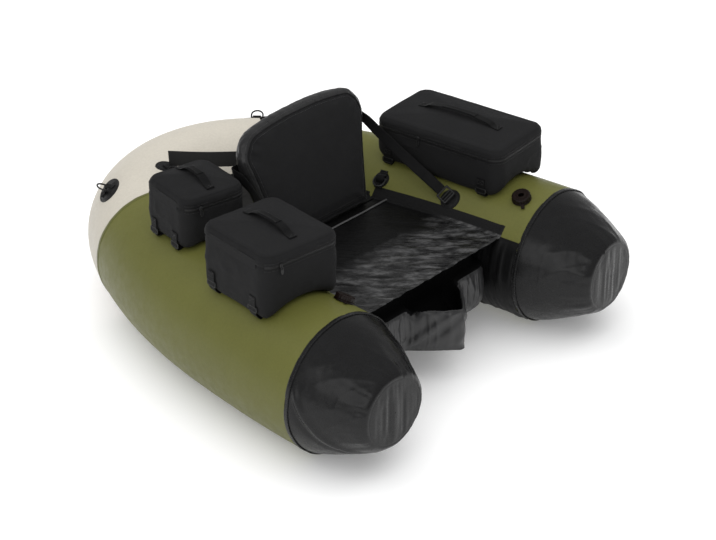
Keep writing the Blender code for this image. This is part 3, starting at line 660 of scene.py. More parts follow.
CREAM = coated("cream_coated_cloth", (0.500, 0.468, 0.405), (0.40, 0.54), 0.030, 0.30,
               dust=(0.43, 0.39, 0.32), pitch=0.00085, specular=0.22)
OLIVE = coated("olive_coated_cloth", (0.110, 0.1115, 0.0280), (0.38, 0.52), 0.05, 0.34,
               dust=(0.130, 0.131, 0.046), pitch=0.00085, specular=0.22)
OLIVE_TAPE = coated("olive_seam_tape", (0.098, 0.100, 0.027), (0.34, 0.46), 0.06, 0.25,
                    dust=(0.12, 0.12, 0.045), specular=0.28)
BLACK = coated("black_coated_cloth", (0.0072, 0.0072, 0.0075), (0.20, 0.34), 0.18, 0.20,
               dust=(0.0115, 0.0115, 0.0120), pitch=0.00085, specular=0.25)
SKIRT = coated("black_scuff_cloth", (0.0036, 0.0036, 0.0038), (0.42, 0.56), 0.18, 0.25,
               dust=(0.007, 0.007, 0.0073), specular=0.20)
CUSHION_CLOTH = coated("cushion_coated_cloth", (0.0200, 0.0200, 0.0206), (0.30, 0.44), 0.18, 0.28,
                       dust=(0.034, 0.034, 0.035), specular=0.50)
# near-black copy of the cushion cloth: painted shade for the recess under the deck's edge and the pommel's pocket
SHADE_PAINTED_CLOTH = coated("cushion_shadow_cloth", (0.0020, 0.0020, 0.0021), (0.78, 0.90), 0.15, 0.30,
                specular=0.06)
GUSSET = coated("backrest_gusset_cloth", (0.0175, 0.0175, 0.0180), (0.26, 0.40), 0.15, 0.25,
                dust=(0.028, 0.028, 0.0285), specular=0.30)
# pale colour painted in as the highlight along the welt at the backrest's foot
WELT_PAINTED_HIGHLIGHT = coated("welt_painted_highlight", (0.0620, 0.0620, 0.0630), (0.26, 0.38), 0.15, 0.25,
              dust=(0.095, 0.095, 0.095), specular=0.60)
PATCH_CLOTH = coated("black_patch", (0.0058, 0.0058, 0.0060), (0.40, 0.54), 0.15, 0.35,
                     dust=(0.012, 0.012, 0.012), specular=0.25)
BAG_CLOTH = woven("bag_cloth_weave", (0.0098, 0.0098, 0.0102), 0.0011, 0.80, 0.55,
                  sheen=0.035, coat_spec=0.16)
LINING = coated("bag_lining", (0.0090, 0.0090, 0.0095), (0.55, 0.70), 0.15, 0.35, specular=0.20)
PAD_CLOTH = woven("backrest_face_cloth", (0.0112, 0.0112, 0.0117), 0.0008, 0.86, 0.40,
                  sheen=0.05, coat_spec=0.18)
PIPING = woven("binding_tape", (0.0070, 0.0070, 0.0073), 0.0007, 0.72, 0.35, sheen=0.03,
               coat_spec=0.16)
STRAP = webbed("black_webbing", (0.0038, 0.0038, 0.0040))
PLASTIC = moulded("black_moulded_plastic", (0.0065, 0.0065, 0.0067), (0.34, 0.48), 0.2, 1.5)
VALVE = moulded("valve_moulded_plastic", (0.0062, 0.0030, 0.0023), (0.40, 0.54), 0.16, 1.3, 0.25)
STEEL = moulded("black_coated_wire", (0.0120, 0.0120, 0.0124), (0.22, 0.34), 0.10, 2.4)
FILM = film("bladder_film_milky", (0.52, 0.54, 0.53))
THREAD = yarn("black_thread", (0.018, 0.018, 0.019))
OLIVE_THREAD = yarn("olive_thread", (0.105, 0.104, 0.038))
ZIP_TEETH = moulded("zip_coil", (0.0110, 0.0110, 0.0114), (0.34, 0.46), 0.1, 1.5)


def deck_cloth():
    """Slick deck cloth: stretched flat behind and painted near-black there as shade; wrinkled in front, with pale
    streaks painted in as highlights on the folds.
    """
    look = Look("black_deck_cloth", Specular_IOR_Level=0.30)
    where, space = look.cloth(), look.object()
    turned = look.node("Mapping")
    turned.inputs["Rotation"].default_value = (0.0, 0.0, -0.7277)
    look.link(space, turned.inputs["Vector"])
    along = turned.outputs[0]
    parts = look.node("SeparateXYZ")
    look.link(space, parts.inputs[0])
    broad = look.noise(space, 26.0, 4.0, 0.6)
    edge = look.math("ADD", parts.outputs[1], look.math("MULTIPLY", broad, 0.07))
    front_part = look.level(edge, 1.0, 0.0, (-0.245, -0.195))
    streak = look.noise(along, 1.0, 5.0, 0.68, stretch=(44.0, 15.0, 20.0))
    # pale streaks in front are painted highlights on the wrinkles; the near-black behind is painted shade
    wear_and_painted_glint = look.ramp(streak, [(0.38, (0.0040, 0.0040, 0.0042)), (0.50, (0.0190, 0.0190, 0.0194)),
                              (0.64, (0.0660, 0.0660, 0.0668))])
    painted_rear_shade = look.ramp(broad, [(0.3, (0.0014, 0.0014, 0.0015)), (0.7, (0.0028, 0.0028, 0.0029))])
    tone = look.mix(front_part, painted_rear_shade, wear_and_painted_glint)
    lap = look.level(parts.outputs[2], 0.0, 1.0, (DECK_MID + 0.0045, DECK_MID + 0.0065))
    tone = look.mix(lap, tone, (0.0036, 0.0036, 0.0038))
    look.bump(look.weave(where, 0.00085, 0.00085), 0.25, 0.00012)
    look.bump(look.noise(space, 160.0, 4.0, 0.65), 0.10, 0.0006)
    look.bump(look.noise(along, 1.0, 3.0, 0.6, stretch=(88.0, 15.0, 40.0)), 0.30, 0.0022)
    rough = look.mix(front_part, look.level(streak, 0.46, 0.58, (0.3, 0.7)),
                     look.level(streak, 0.22, 0.36, (0.3, 0.7)))
    return look.done(tone, rough)


DECK_CLOTH = deck_cloth()

# CAD nodes that stay: sealed bladders, cells and valve pins
for node_name, node_obj in NODES.items():
    if "bladder" in node_name or "air_cell" in node_name:
        finish = FILM
    elif "valve" in node_name:
        finish = VALVE
    elif "d_ring" in node_name:
        finish = STEEL
    else:
        finish = None
    if finish is not None:
        node_obj.data.materials.clear()
        node_obj.data.materials.append(finish)

# ---------------------------------------------------------------- camera and light
camera = bpy.data.objects.new("view", bpy.data.cameras.new("view"))
bpy.context.scene.collection.objects.link(camera)
camera.location = (-3.8596, -3.6083, 3.1583)
camera.rotation_euler = (Vector((0.0142, -0.1621, 0.1912)) - camera.location) \
    .to_track_quat("-Z", "Y").to_euler()
camera.data.lens = 109.34
camera.data.sensor_width = 36.0
bpy.context.scene.camera = camera
bpy.context.scene.view_settings.view_transform = "Standard"

world = bpy.data.worlds.new("studio")
bpy.context.scene.world = world
world.use_nodes = True
sky = world.node_tree.nodes["Background"]
sky.inputs["Color"].default_value = (1.0, 1.0, 1.0, 1.0)
sky.inputs["Strength"].default_value = 0.42


def softbox(name, place, target, wide, high, power):
    lamp = bpy.data.lights.new(name, "AREA")
    lamp.shape = "RECTANGLE"
    lamp.size, lamp.size_y = wide, high
    lamp.energy = power
    obj = bpy.data.objects.new(name, lamp)
    bpy.context.scene.collection.objects.link(obj)
    obj.location = place
    obj.rotation_euler = (Vector(target) - obj.location).to_track_quat("-Z", "Y").to_euler()
    return obj


overhead = softbox("overhead", (0.0, 0.6, 4.2), (0.0, 0.6, 0.2), 9.5, 9.5, 400.0)
overhead.visible_glossy = False      # its broad glare would hide the black cloth's folds
softbox("front_left", (-4.2, -2.6, 2.4), (0.0, -0.2, 0.2), 3.6, 3.2, 48.0)

floor_look = Look("pale_floor", rough=0.75, Specular_IOR_Level=0.12, Emission_Strength=0.16)
floor_look.set(Emission_Color=(1.0, 1.0, 1.0, 1.0))
floor_tone = floor_look.noise(floor_look.object(), 1.4, 3.0)
floor_look.bump(floor_look.noise(floor_look.object(), 120.0, 2.0), 0.05, 0.0005)
FLOOR = floor_look.done(floor_look.ramp(floor_tone, [(0.3, (0.885, 0.885, 0.885)),
                                                     (0.7, (0.900, 0.900, 0.900))]))
ground = Shell()
gx, gy = np.meshgrid(np.linspace(-30, 30, 25), np.linspace(-30, 30, 25))
ground.grid(vec3(gx, gy, -0.0005))
ground = ground.build("studio_floor", FLOOR)


# ---------------------------------------------------------------- pontoons
ROUND = 128
ANGLES = (np.arange(ROUND) + 0.5) * 2 * math.pi / ROUND
SEAM_GAP = 0.0005


def skin_lift(s, f):
    """Relief of the inflated cloth: long soft waves, and puckers beside the seams."""
    s, f = np.broadcast_arrays(np.asarray(s, float), f)
    p = tube(s, f, TUBE_R)
    lift = 0.0008 * fbm(p, 6.0, 2, 3)
    for at, deep in ((COVER_SEAM, 0.0008), (LEG_END, 0.0012)):
        d = np.abs(np.abs(s) - at)
        side = np.where(np.abs(s) > at, 7.0, 0.0) + np.where(s > 0, 31.0, 0.0)
        wave = noise(vec3(9.0 * np.cos(f), 9.0 * np.sin(f), side + d * 9.0), 1.0, 11)
        lift = lift + deep * wave * np.exp(-d / 0.022)
    return lift


def cover(name, s0, s1, rows, mat, node):
    s = np.linspace(s0, s1, rows)[:, None]
    f = ANGLES[None]
    outer = tube(s, f, TUBE_R - 0.0004 + skin_lift(s, f))
    s_in = np.linspace(s1, s0, max(rows // 4, 8))[:, None]
    inner = tube(s_in, f, TUBE_R - 0.0032)
    grid = np.concatenate([outer, inner])
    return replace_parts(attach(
        Shell().grid(grid, close_rows=True, close_cols=True).build(name, mat, sharp=60),
        "float_tube"), node)


def tape_ring(shell, s, width, height, mat=0, cols=ROUND):
    """Seam tape round the pontoon."""
    f = np.arange(cols) * 2 * math.pi / cols
    half = width / 2
    section = [(-half, -0.0010), (-half, height * 0.45), (-half + 0.0006, height),
               (-half * 0.35, height * 1.1), (half * 0.35, height * 1.1),
               (half - 0.0006, height), (half, height * 0.45), (half, -0.0010)]
    rows = []
    for ds, h in section:
        at = np.full_like(f, s + ds)
        rows.append(tube(at, f, TUBE_R - 0.0004 + skin_lift(np.full_like(f, s), f) + h))
    shell.grid(np.array(rows), close_rows=True, close_cols=True, mat=mat)


def ring_path(s, lift, cols=240):
    f = np.arange(cols) * 2 * math.pi / cols
    at = np.full_like(f, s)
    p = tube(at, f, TUBE_R - 0.0004 + skin_lift(at, f) + lift)
    _, _, out = spine(at)
    n = out * np.cos(f)[:, None]
    n[:, 2] += np.sin(f)
    return p, n


stern = cover("stern_skin", -COVER_SEAM + SEAM_GAP / 2, COVER_SEAM - SEAM_GAP / 2, 92, CREAM,
              "stern_cover")
skins = {}
for sign, hand in HANDS:
    skins[hand] = cover(hand + "_pontoon_skin", sign * (COVER_SEAM + SEAM_GAP / 2),
                        sign * (LEG_END - SEAM_GAP / 2), 112, OLIVE, hand + "_pontoon_cover")

# seam tapes with their stitching
for sign, hand in HANDS:
    tape = Shell()
    tape_ring(tape, sign * (COVER_SEAM + 0.006), 0.011, 0.0009)
    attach(tape.build(hand + "_stern_seam_tape", OLIVE_TAPE, sharp=50), "float_tube")
    rows = Shell()
    for off in (0.0030, 0.0088):
        stitches(rows, *ring_path(sign * (COVER_SEAM + off), 0.0009), closed=True)
    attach(rows.build(hand + "_stern_seam_stitches", OLIVE_THREAD), "float_tube")
    tape = Shell()
    tape_ring(tape, sign * (LEG_END + 0.0045), 0.013, 0.0008)
    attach(tape.build(hand + "_bow_seam_tape", BLACK, sharp=50), "float_tube")
    rows = Shell()
    for off in (0.0005, 0.0085):
        stitches(rows, *ring_path(sign * (LEG_END + off), 0.0011), closed=True)
    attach(rows.build(hand + "_bow_seam_stitches", THREAD), "float_tube")
    # the lengthwise closing seam lies low on the inner side
    s = np.linspace(COVER_SEAM + 0.012, LEG_END - 0.004, 90) * sign
    lap = Shell()
    section = [(-0.0075, -0.0008), (-0.0075, 0.0005), (-0.0068, 0.0009), (0.0, 0.0010),
               (0.0068, 0.0009), (0.0075, 0.0005), (0.0075, -0.0008)]
    grid = []
    for across, h in section:
        f = np.full_like(s, math.radians(212.0)) + across / TUBE_R
        grid.append(tube(s, f, TUBE_R - 0.0004 + skin_lift(s, f) + h))
    capped(lap, np.array(grid).transpose(1, 0, 2))
    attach(lap.build(hand + "_lengthwise_seam", OLIVE_TAPE, sharp=50), "float_tube")


def bow_cap(hand, sign):
    """A coned end cap of slick coated cloth, gathered and creased towards its flat disc."""
    cols = 192
    f = (np.arange(cols) + 0.5) * 2 * math.pi / cols
    length = BOW_LENGTH - SEAM_GAP
    seed = 5 if sign > 0 else 9
    rim = 0.0135

    def side_row(k, inset=0.0):
        s = LEG_END + SEAM_GAP / 2 + length * k
        base = TUBE_R + (BOW_DISC_R - TUBE_R) * k ** BOW_POWER
        at = np.full_like(f, sign * s)
        p = tube(at, f, np.full_like(f, base))
        turn = f + 0.9 * k * sign
        long_fold = crease(vec3(2.6 * np.cos(turn), 2.6 * np.sin(turn), 1.4 * k), 1.0, seed, 2.2)
        cross_fold = crease(vec3(1.5 * np.cos(f) + 2.2 * k, 1.5 * np.sin(f) - 1.8 * k, 3.1 * k),
                            1.3, seed + 2, 2.6)
        gather = noise(vec3(5.2 * np.cos(f), 5.2 * np.sin(f), 1.1 * k), 1.0, seed + 4)
        gather = gather + 0.6 * noise(vec3(11.0 * np.cos(f), 11.0 * np.sin(f), 1.3 * k), 1.0, seed + 5)
        lift = (0.0017 * (long_fold - 0.25) * step(k, 0.10, 0.45)
                + 0.0006 * (cross_fold - 0.2) * step(k, 0.05, 0.30) * (1 - step(k, 0.85, 1.0))
                + 0.0021 * gather * step(k, 0.35, 0.95)
                + 0.0016 * fbm(p, 11.0, 3, seed + 6) * step(k, 0.0, 0.3)
                + 0.0009 * fbm(p, 42.0, 3, seed + 7) * step(k, 0.05, 0.4))
        # one long soft fold runs down and forward across the outer side
        along_ = step(k, 0.04, 0.16) * (1 - step(k, 0.62, 0.86))
        away = np.angle(np.exp(1j * (f - (0.50 - 1.9 * k)))) * base
        lift = lift + along_ * (0.0050 * np.exp(-(away / 0.019) ** 2)
                                - 0.0040 * np.exp(-((away + 0.036) / 0.018) ** 2))
        lift = lift - 0.0004
        if k < 0.25:
            lift = lift + skin_lift(at, f) * (1 - step(k, 0.0, 0.25))
        if k > 0.90:
            # round over into the disc
            t = (k - 0.90) / 0.10
            lift = lift * (1 - 0.55 * t) - rim * (1 - math.sqrt(max(1 - t * t, 0.0))) * 0.75
        return tube(at, f, base + lift - inset)

    def disc_row(k, back=0.0):
        edge = BOW_DISC_R - rim * 0.75 - 0.0004
        r = edge * (1 - k) + 1e-6
        at = np.full_like(f, sign * (LEG_END + BOW_LENGTH - SEAM_GAP / 2))
        p = tube(at, f, np.full_like(f, max(r, 1e-6)))
        across = p - tube(at, f, np.full_like(f, 1e-6)).mean(0)
        centre, ahead, out = spine(at)
        u = np.sum(across * out, 1)
        drape = (0.0016 * noise(vec3(u * 42.0, p[:, 2] * 5.0, 0.0), 1.0, seed + 8)
                 + 0.0010 * noise(vec3(u * 95.0, p[:, 2] * 11.0, 3.0), 1.0, seed + 9)
                 + 0.0008 * fbm(p, 22.0, 2, seed + 10))
        push = drape * step(k, 0.0, 0.22) + 0.0010 * step(k, 0.0, 0.35) - 0.0010 * (1 - step(k, 0.0, 0.05))
        return p + ahead * (push - back)[:, None]

    rows = [side_row(k) for k in np.linspace(0, 1, 84)]
    rows += [disc_row(k) for k in np.linspace(0.012, 1, 40)]
    rows += [disc_row(k, 0.0030) for k in np.linspace(1, 0.03, 8)]
    rows += [side_row(k, 0.0032) for k in np.linspace(0.97, 0, 16)]
    obj = Shell().grid(np.array(rows), close_rows=True, close_cols=True) \
        .build(hand + "_bow_cap_skin", BLACK, sharp=70)
    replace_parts(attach(obj, "float_tube"), hand + "_bow_cap")


for sign, hand in HANDS:
    bow_cap(hand, sign)


# ---------------------------------------------------------------- patches and rings
def patch_point(s, phi, across, along, lift):
    """Point of a patch glued on the pontoon: `across` runs round it, `along` lengthwise."""
    f = np.radians(phi) + np.asarray(across) / TUBE_R
    at = s + np.asarray(along)
    at, f = np.broadcast_arrays(at, f)
    return tube(at, f, TUBE_R - 0.0004 + skin_lift(at, f) + lift)


def patch(name, s, phi, radius, node, thick=0.0019, square=0.0):
    """Round glued patch with a welded rim and a stitched ring."""
    cols = 64
    a = np.arange(cols) * 2 * math.pi / cols
    # square > 0 draws the circle towards a rounded square
    reach = radius * (1 - 0.5 * square * (1 - np.cos(4 * a)) * 0.35)
    rows = []
    for k, h in ((1e-5, 1.0), (0.25, 1.0), (0.5, 1.0), (0.66, 1.0), (0.78, 1.0), (0.83, 0.62),
                 (0.87, 0.62), (0.91, 1.0), (0.96, 0.95), (0.99, 0.65), (1.0, 0.25), (1.0, -0.3),
                 (0.6, -0.3), (1e-5, -0.3)):
        waves = 0.00035 * noise(vec3(np.cos(a) * 3, np.sin(a) * 3, s * 40), 1.0, 5) if h > 0 else 0
        rows.append(patch_point(s, phi, reach * k * np.sin(a), reach * k * np.cos(a),
                                thick * h + waves + 0.0002))
    rows = np.array(rows)
    shell = Shell().grid(rows, close_cols=True)
    ring = patch_point(s, phi, reach * 0.72 * np.sin(a), reach * 0.72 * np.cos(a), thick + 0.0002)
    centre = np.array(on_tube(s, phi)[1])
    stitches(shell, ring, centre, pitch=0.0042, mat=1, closed=True)
    obj = shell.build(name, [PATCH_CLOTH, THREAD], sharp=55)
    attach(obj, "float_tube")
    if node:
        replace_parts(obj, node)
    return obj


def ring_tab(name, s, phi, bar):
    """Webbing loop that holds a ring's bar on its patch, sewn down with a crossed box."""
    m = frame_at(s, phi, 0.0044)
    r_ = bar + 0.0032
    pts = [(r_ * 1.15 + 0.016, -0.0018), (r_ * 1.15 + 0.008, -0.0019), (r_ * 1.15 + 0.002, -0.0014)]
    for deg in range(15, 180, 15):
        t = math.radians(deg)
        pts.append((r_ * 1.12 * math.cos(t), r_ * math.sin(t)))
    pts += [(-r_ * 1.15 - 0.002, -0.0014), (-r_ * 1.15 - 0.008, -0.0019),
            (-r_ * 1.15 - 0.016, -0.0018)]
    line = smooth_loop([np.array(m @ Vector((0, y, z))) for y, z in pts], 60, closed=False)
    side = np.array(m.to_3x3() @ Vector((1, 0, 0)))
    shell = Shell()
    capped(shell, sweep(line, side, strap_section(0.024, 0.0016)))
    up = np.array(m.to_3x3() @ Vector((0, 0, 1)))
    for end in (1, -1):
        y0, y1 = end * (r_ * 1.15 + 0.003), end * (r_ * 1.15 + 0.0145)
        box = [(-0.009, y0), (0.009, y0), (0.009, y1), (-0.009, y1), (-0.009, y0), (0.009, y1)]
        stitches(shell, [np.array(m @ Vector((x, y, -0.0008))) for x, y in box], up,
                 pitch=0.003, length=0.0022, mat=1)
    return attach(shell.build(name, [STRAP, THREAD], sharp=60), "float_tube")


def d_ring(name, node, body, s, phi, lift, bar, stand, slope, wire=0.0025, half=0.017, leg=0.010):
    axis_point = frame_at(s, phi, lift) @ Vector((0, 0, bar))
    _, normal, along, grow = on_tube(s, phi)
    t = math.radians(stand)
    reach = (grow * (slope * math.cos(t)) + normal * math.sin(t)).normalized()
    loop = [(-half + 0.003, 0.0), (-half * 0.5, 0), (0.0, 0.0), (half * 0.5, 0), (half - 0.003, 0.0),
            (half - 0.0006, 0.0009), (half, 0.0035), (half, leg)]
    for deg in range(15, 180, 15):
        t = math.radians(deg)
        loop.append((half * math.cos(t), leg + half * math.sin(t)))
    loop += [(-half, leg), (-half, 0.0035), (-half + 0.0006, 0.0009)]
    line = smooth_loop([np.array(axis_point + along * a + reach * b) for a, b in loop], 96)
    plane = np.array(along.cross(reach).normalized())
    closed = np.concatenate([line[-1:], line, line[:1]])
    grid = sweep(closed, plane, circle(wire, 14))[1:-1]
    obj = Shell().grid(grid, close_rows=True, close_cols=True).build(name, STEEL)
    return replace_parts(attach(obj, body), node)


for sign, hand in HANDS:
    for where, s, phi, radius, stand, slope in (("rear", 0.232, 49.0, 0.037, 62.0, -1),
                                                ("deck", 0.690, 131.0, 0.024, 8.0, 1)):
        tag = f"{hand}_{where}"
        patch(tag + "_patch_piece", sign * s, phi, radius, tag + "_ring_patch")
        ring_tab(tag + "_ring_tab", sign * s, phi, 0.0062)
        d_ring(tag + "_wire_ring", tag + "_d_ring", tag + "_d_ring", sign * s, phi, 0.0044, 0.0048,
               stand, slope)


# ---------------------------------------------------------------- valves
def lathe(profile, m, segments=64, scallops=0, deep=0.0, above=0.0):
    a = np.arange(segments) * 2 * math.pi / segments
    rows = []
    base = np.array(m)
    for r, z in profile:
        rr = np.full_like(a, r)
        if scallops and r > above:
            rr = rr - deep * (0.5 + 0.5 * np.cos(scallops * a)) ** 3
        local = np.stack([rr * np.cos(a), rr * np.sin(a), np.full_like(a, z)], -1)
        rows.append(local @ base[:3, :3].T + base[:3, 3])
    return np.array(rows)


def bevelled(profile, size=0.0005):
    """The closed profile with each corner cut, for highlights along its edges."""
    out = []
    n = len(profile)
    for i in range(n):
        p = np.array(profile[i])
        for q in (np.array(profile[i - 1]), np.array(profile[(i + 1) % n])):
            d = q - p
            far = np.linalg.norm(d)
            out.append(p + d / far * min(size, far * 0.3))
    return out


for sign, hand in HANDS:
    valve_s, valve_phi = VALVES[hand]
    seat = frame_at(sign * valve_s, valve_phi, 0.0012)
    drill = Shell()
    rows = lathe([(1e-5, -0.030), (0.0185, -0.030), (0.0185, 0.020), (1e-5, 0.020)], seat, 32)
    drill.grid(rows, close_cols=True)
    drill = drill.build(hand + "_drill", VALVE)
    skin = skins[hand]
    cut = skin.modifiers.new("hole", "BOOLEAN")
    cut.operation, cut.solver, cut.object = "DIFFERENCE", "EXACT", drill
    dg = bpy.context.evaluated_depsgraph_get()
    holed = bpy.data.meshes.new_from_object(skin.evaluated_get(dg), depsgraph=dg)
    skin.modifiers.clear()
    skin.data = holed
    bpy.data.objects.remove(drill, do_unlink=True)

    body = Shell()
    body.grid(lathe(bevelled([(0.0275, -0.0006), (0.0272, 0.0018), (0.0262, 0.0030), (0.0205, 0.0034),
                              (0.0205, 0.0110), (0.0165, 0.0110), (0.0165, -0.0050), (0.0070, -0.0050),
                              (0.0070, -0.0080), (0.0150, -0.0080), (0.0150, -0.0240),
                              (0.0178, -0.0240), (0.0178, -0.0006)], 0.0004), seat),
              close_rows=True, close_cols=True)
    # tongue of the cap's retaining band, lying on the pontoon
    toward = seat.to_3x3().inverted() @ Vector((-0.65, -0.55, 0.0))
    toward = Vector((toward.x, toward.y, 0)).normalized()
    cross = Vector((-toward.y, toward.x, 0))
    tongue = []
    for far, h in ((0.0225, 0.0038), (0.0262, 0.0042), (0.0300, 0.0030), (0.0345, 0.0022),
                   (0.0380, 0.0018), (0.0400, 0.0016)):
        tongue.append(np.array(seat @ (toward * far + Vector((0, 0, h - far * far * 1.6 + 0.0012)))))
    tongue = smooth_loop(tongue, 16, closed=False)
    capped(body, sweep(tongue, np.array(seat.to_3x3() @ cross), strap_section(0.010, 0.0018)))
    obj = body.build(hand + "_valve_housing", VALVE, sharp=35)
    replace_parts(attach(obj, "float_tube"), hand + "_valve_body")

    cap = Shell().grid(lathe(bevelled([(0.0080, 0.0150), (0.0105, 0.0156), (0.0118, 0.0148),
                                       (0.0170, 0.0152), (0.0222, 0.0162), (0.0250, 0.0152),
                                       (0.0262, 0.0132), (0.0262, 0.0040), (0.0212, 0.0040),
                                       (0.0212, 0.0125), (0.0080, 0.0125)], 0.0004),
                             seat, 144, 18, 0.0011, 0.0245),
                       close_rows=True, close_cols=True).build(hand + "_valve_cap_piece", VALVE,
                                                               sharp=40)
    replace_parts(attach(cap, hand + "_valve_cap"), hand + "_valve_cap")


# ---------------------------------------------------------------- decks
def normals_of(grid, close_rows=False, close_cols=False):
    def diff(axis, close):
        if close:
            return np.roll(grid, -1, axis) - np.roll(grid, 1, axis)
        return np.gradient(grid, axis=axis)
    n = np.cross(diff(0, close_rows), diff(1, close_cols))
    n /= np.maximum(np.linalg.norm(n, axis=-1), 1e-12)[..., None]
    if np.sum(n * (grid - grid.mean((0, 1)))) < 0:
        n = -n
    return n


def sheet_shell(shell, top, low, close_cols=False, uv=None, mat=0):
    """Two layers of one sheet, joined round all their edges."""
    top, low = np.asarray(top, float), np.asarray(low, float)
    shell.grid(top, uv=uv, close_cols=close_cols, mat=mat)
    shell.grid(low, uv=uv, close_cols=close_cols, mat=mat)
    edges = [(top[0], low[0]), (top[-1], low[-1])]
    if not close_cols:
        edges += [(top[:, 0], low[:, 0]), (top[:, -1], low[:, -1])]
    for a, b in edges:
        shell.grid(np.array([a, (a + b) / 2, b]), close_cols=close_cols, mat=mat)




def deck_relief(x, y):
    """Wrinkles of the slick deck cloth; they run from the near side forward."""
    q, r = 0.747 * x + 0.665 * y, 0.665 * x - 0.747 * y
    warp = 0.012 * noise(vec3(x * 7, y * 7, 2.0), 1.0, 31)
    q = q + warp
    loose = 1 - step(y, -0.275, -0.215)
    waves = (0.0021 * noise(vec3(q * 44, r * 7.5, 0.0), 1.0, 21)
             + 0.0016 * (crease(vec3(q * 50, r * 9, 4.0), 1.0, 22, 2.0) - 0.3)
             + 0.0009 * noise(vec3(q * 115, r * 22, 7.0), 1.0, 23))
    calm = 0.0009 * fbm(vec3(x, y, 0.0), 11.0, 3, 24)
    return np.clip(waves * (0.22 + 0.78 * loose) + calm, -0.0030, 0.0034)


def side_columns(y, z_mid, cols):
    """Across the deck at y, with a welded lap that turns up along each pontoon."""
    lap = [(0.0262, 0.0009), (0.0255, 0.0012), (0.0200, 0.0012), (0.0140, 0.0012),
           (0.0085, 0.0012), (0.0050, 0.0013), (0.0024, 0.0022)]
    top, low = [], []
    half = inner_x(y, DECK_MID) - 0.0042
    for side in (-1, 1):
        part_top, part_low = [], []
        for up, off in lap:
            z = DECK_MID + up
            x = inner_x(y, z)
            part_top.append(vec3(side * (x - off), y, z))
            part_low.append(vec3(side * (x - off + 0.0009), y, z - 0.0003))
        if side == 1:
            part_top.reverse()
            part_low.reverse()
        top.append(part_top)
        low.append(part_low)
    u = np.linspace(-1, 1, cols)
    mid_top, mid_low = [], []
    for k in u:
        x = k * half
        tame = 1 - step(abs(k), 0.93, 1.0) * 0.75
        z = z_mid + deck_relief(x, y) * tame
        mid_top.append(vec3(x, y, z))
        mid_low.append(vec3(x, y, z - 0.0014))
    t = np.array(top[0] + mid_top + top[1]).transpose(1, 0, 2)
    b = np.array(low[0] + mid_low + low[1]).transpose(1, 0, 2)
    return t, b


y_rows = np.concatenate([[DECK_FRONT + 0.0004, DECK_FRONT + 0.0012, DECK_FRONT + 0.003],
                         np.linspace(DECK_FRONT + 0.006, DECK_BREAK - 0.0008, 150)])
deck_top, deck_low = side_columns(y_rows, DECK_MID, 180)
# a rolled hem along the front edge
hem = np.exp(-((y_rows - DECK_FRONT - 0.006) / 0.0065) ** 4)[:, None]
round_off = np.interp(y_rows - DECK_FRONT, [0.0004, 0.0012, 0.003, 0.006], [-0.0011, 0.0, 0.0009, 0.0012])
deck_top[..., 2] += hem * round_off[:, None]
deck_low[..., 2] -= hem * np.interp(y_rows - DECK_FRONT, [0.0004, 0.0012, 0.003, 0.006],
                                    [-0.0001, 0.0006, 0.0011, 0.0013])[:, None]
shell = Shell()
sheet_shell(shell, deck_top, deck_low, uv=deck_top[..., :2])
seat_deck = shell.build("seat_deck_sheet", DECK_CLOTH, sharp=70)
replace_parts(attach(seat_deck, "float_tube"), "seat_deck")
rows = Shell()
hem_line = deck_top[9, 9:-9] + np.array([0, 0, 0.0001])
stitches(rows, hem_line, (0, 0, 1.0))
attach(rows.build("seat_deck_hem_stitches", THREAD), "float_tube")


def inner_skirt(hand, sign):
    """Black scuff cloth glued to the pontoon's inner flank, from the deck's edge down,
    that lies in loose upright folds."""
    start, end = LEG_END - 0.232, LEG_END - 0.0008
    f = np.radians(np.linspace(147.5, 238.0, 96))[:, None]
    s_line = np.linspace(start, end, 150)[None, :]
    f, s_line = np.broadcast_arrays(f, s_line)
    deg = np.degrees(f)
    hold = (step(deg, 147.5, 152.0) * (1 - step(deg, 233.0, 238.0))
            * step(s_line, start, start + 0.010) * (1 - step(s_line, end - 0.010, end)))
    seed = 61 if sign > 0 else 64
    sway = 0.010 * noise(vec3(f * 1.4, s_line * 9.0, 0.0), 1.0, seed)
    fold = 0.0022 * noise(vec3((s_line + sway) * 46.0, f * 0.9, 1.0), 1.0, seed + 1)
    fold = fold + 0.0011 * noise(vec3((s_line + sway) * 105.0, f * 2.0, 4.0), 1.0, seed + 2)
    lift = 0.0016 + hold * (0.0012 + np.clip(fold, -0.0011, 0.0030)) + skin_lift(sign * s_line, f)
    top = tube(sign * s_line, f, TUBE_R + lift)
    low = tube(sign * s_line, f, TUBE_R + lift - 0.0009)
    skirt = Shell()
    sheet_shell(skirt, top, low)
    skirt = skirt.build(hand + "_inner_skirt", SKIRT, sharp=70)
    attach(skirt, "float_tube")


for sign, hand in HANDS:
    inner_skirt(hand, sign)


def cargo_ring(z, gap):
    """The opening between the pontoons behind the backrest at height z."""
    reach = math.sqrt(max(TUBE_R ** 2 - (z - TUBE_Z) ** 2, 0.0)) + gap
    pts = [(x - math.sin(a) * reach, y - math.cos(a) * reach) for x, y, a in SPINE]
    pts = [p for p in pts if p[0] > 1e-6 and p[1] > DECK_BREAK + 0.0008]
    pts = [(0.0, STERN_Y - reach)] + pts + [(pts[-1][0], DECK_BREAK + 0.0008)]
    pts = np.array(pts)
    far = np.concatenate([[0], np.cumsum(np.linalg.norm(np.diff(pts, axis=0), axis=1))])
    where = np.linspace(0, far[-1], 90)
    half = np.stack([np.interp(where, far, pts[:, k]) for k in (0, 1)], -1)
    front = np.stack([np.linspace(half[-1, 0], -half[-1, 0], 74)[1:-1],
                      np.full(72, DECK_BREAK + 0.0008)], -1)
    back = half[::-1][:-1] * np.array([-1, 1])
    return np.concatenate([half, front, back])


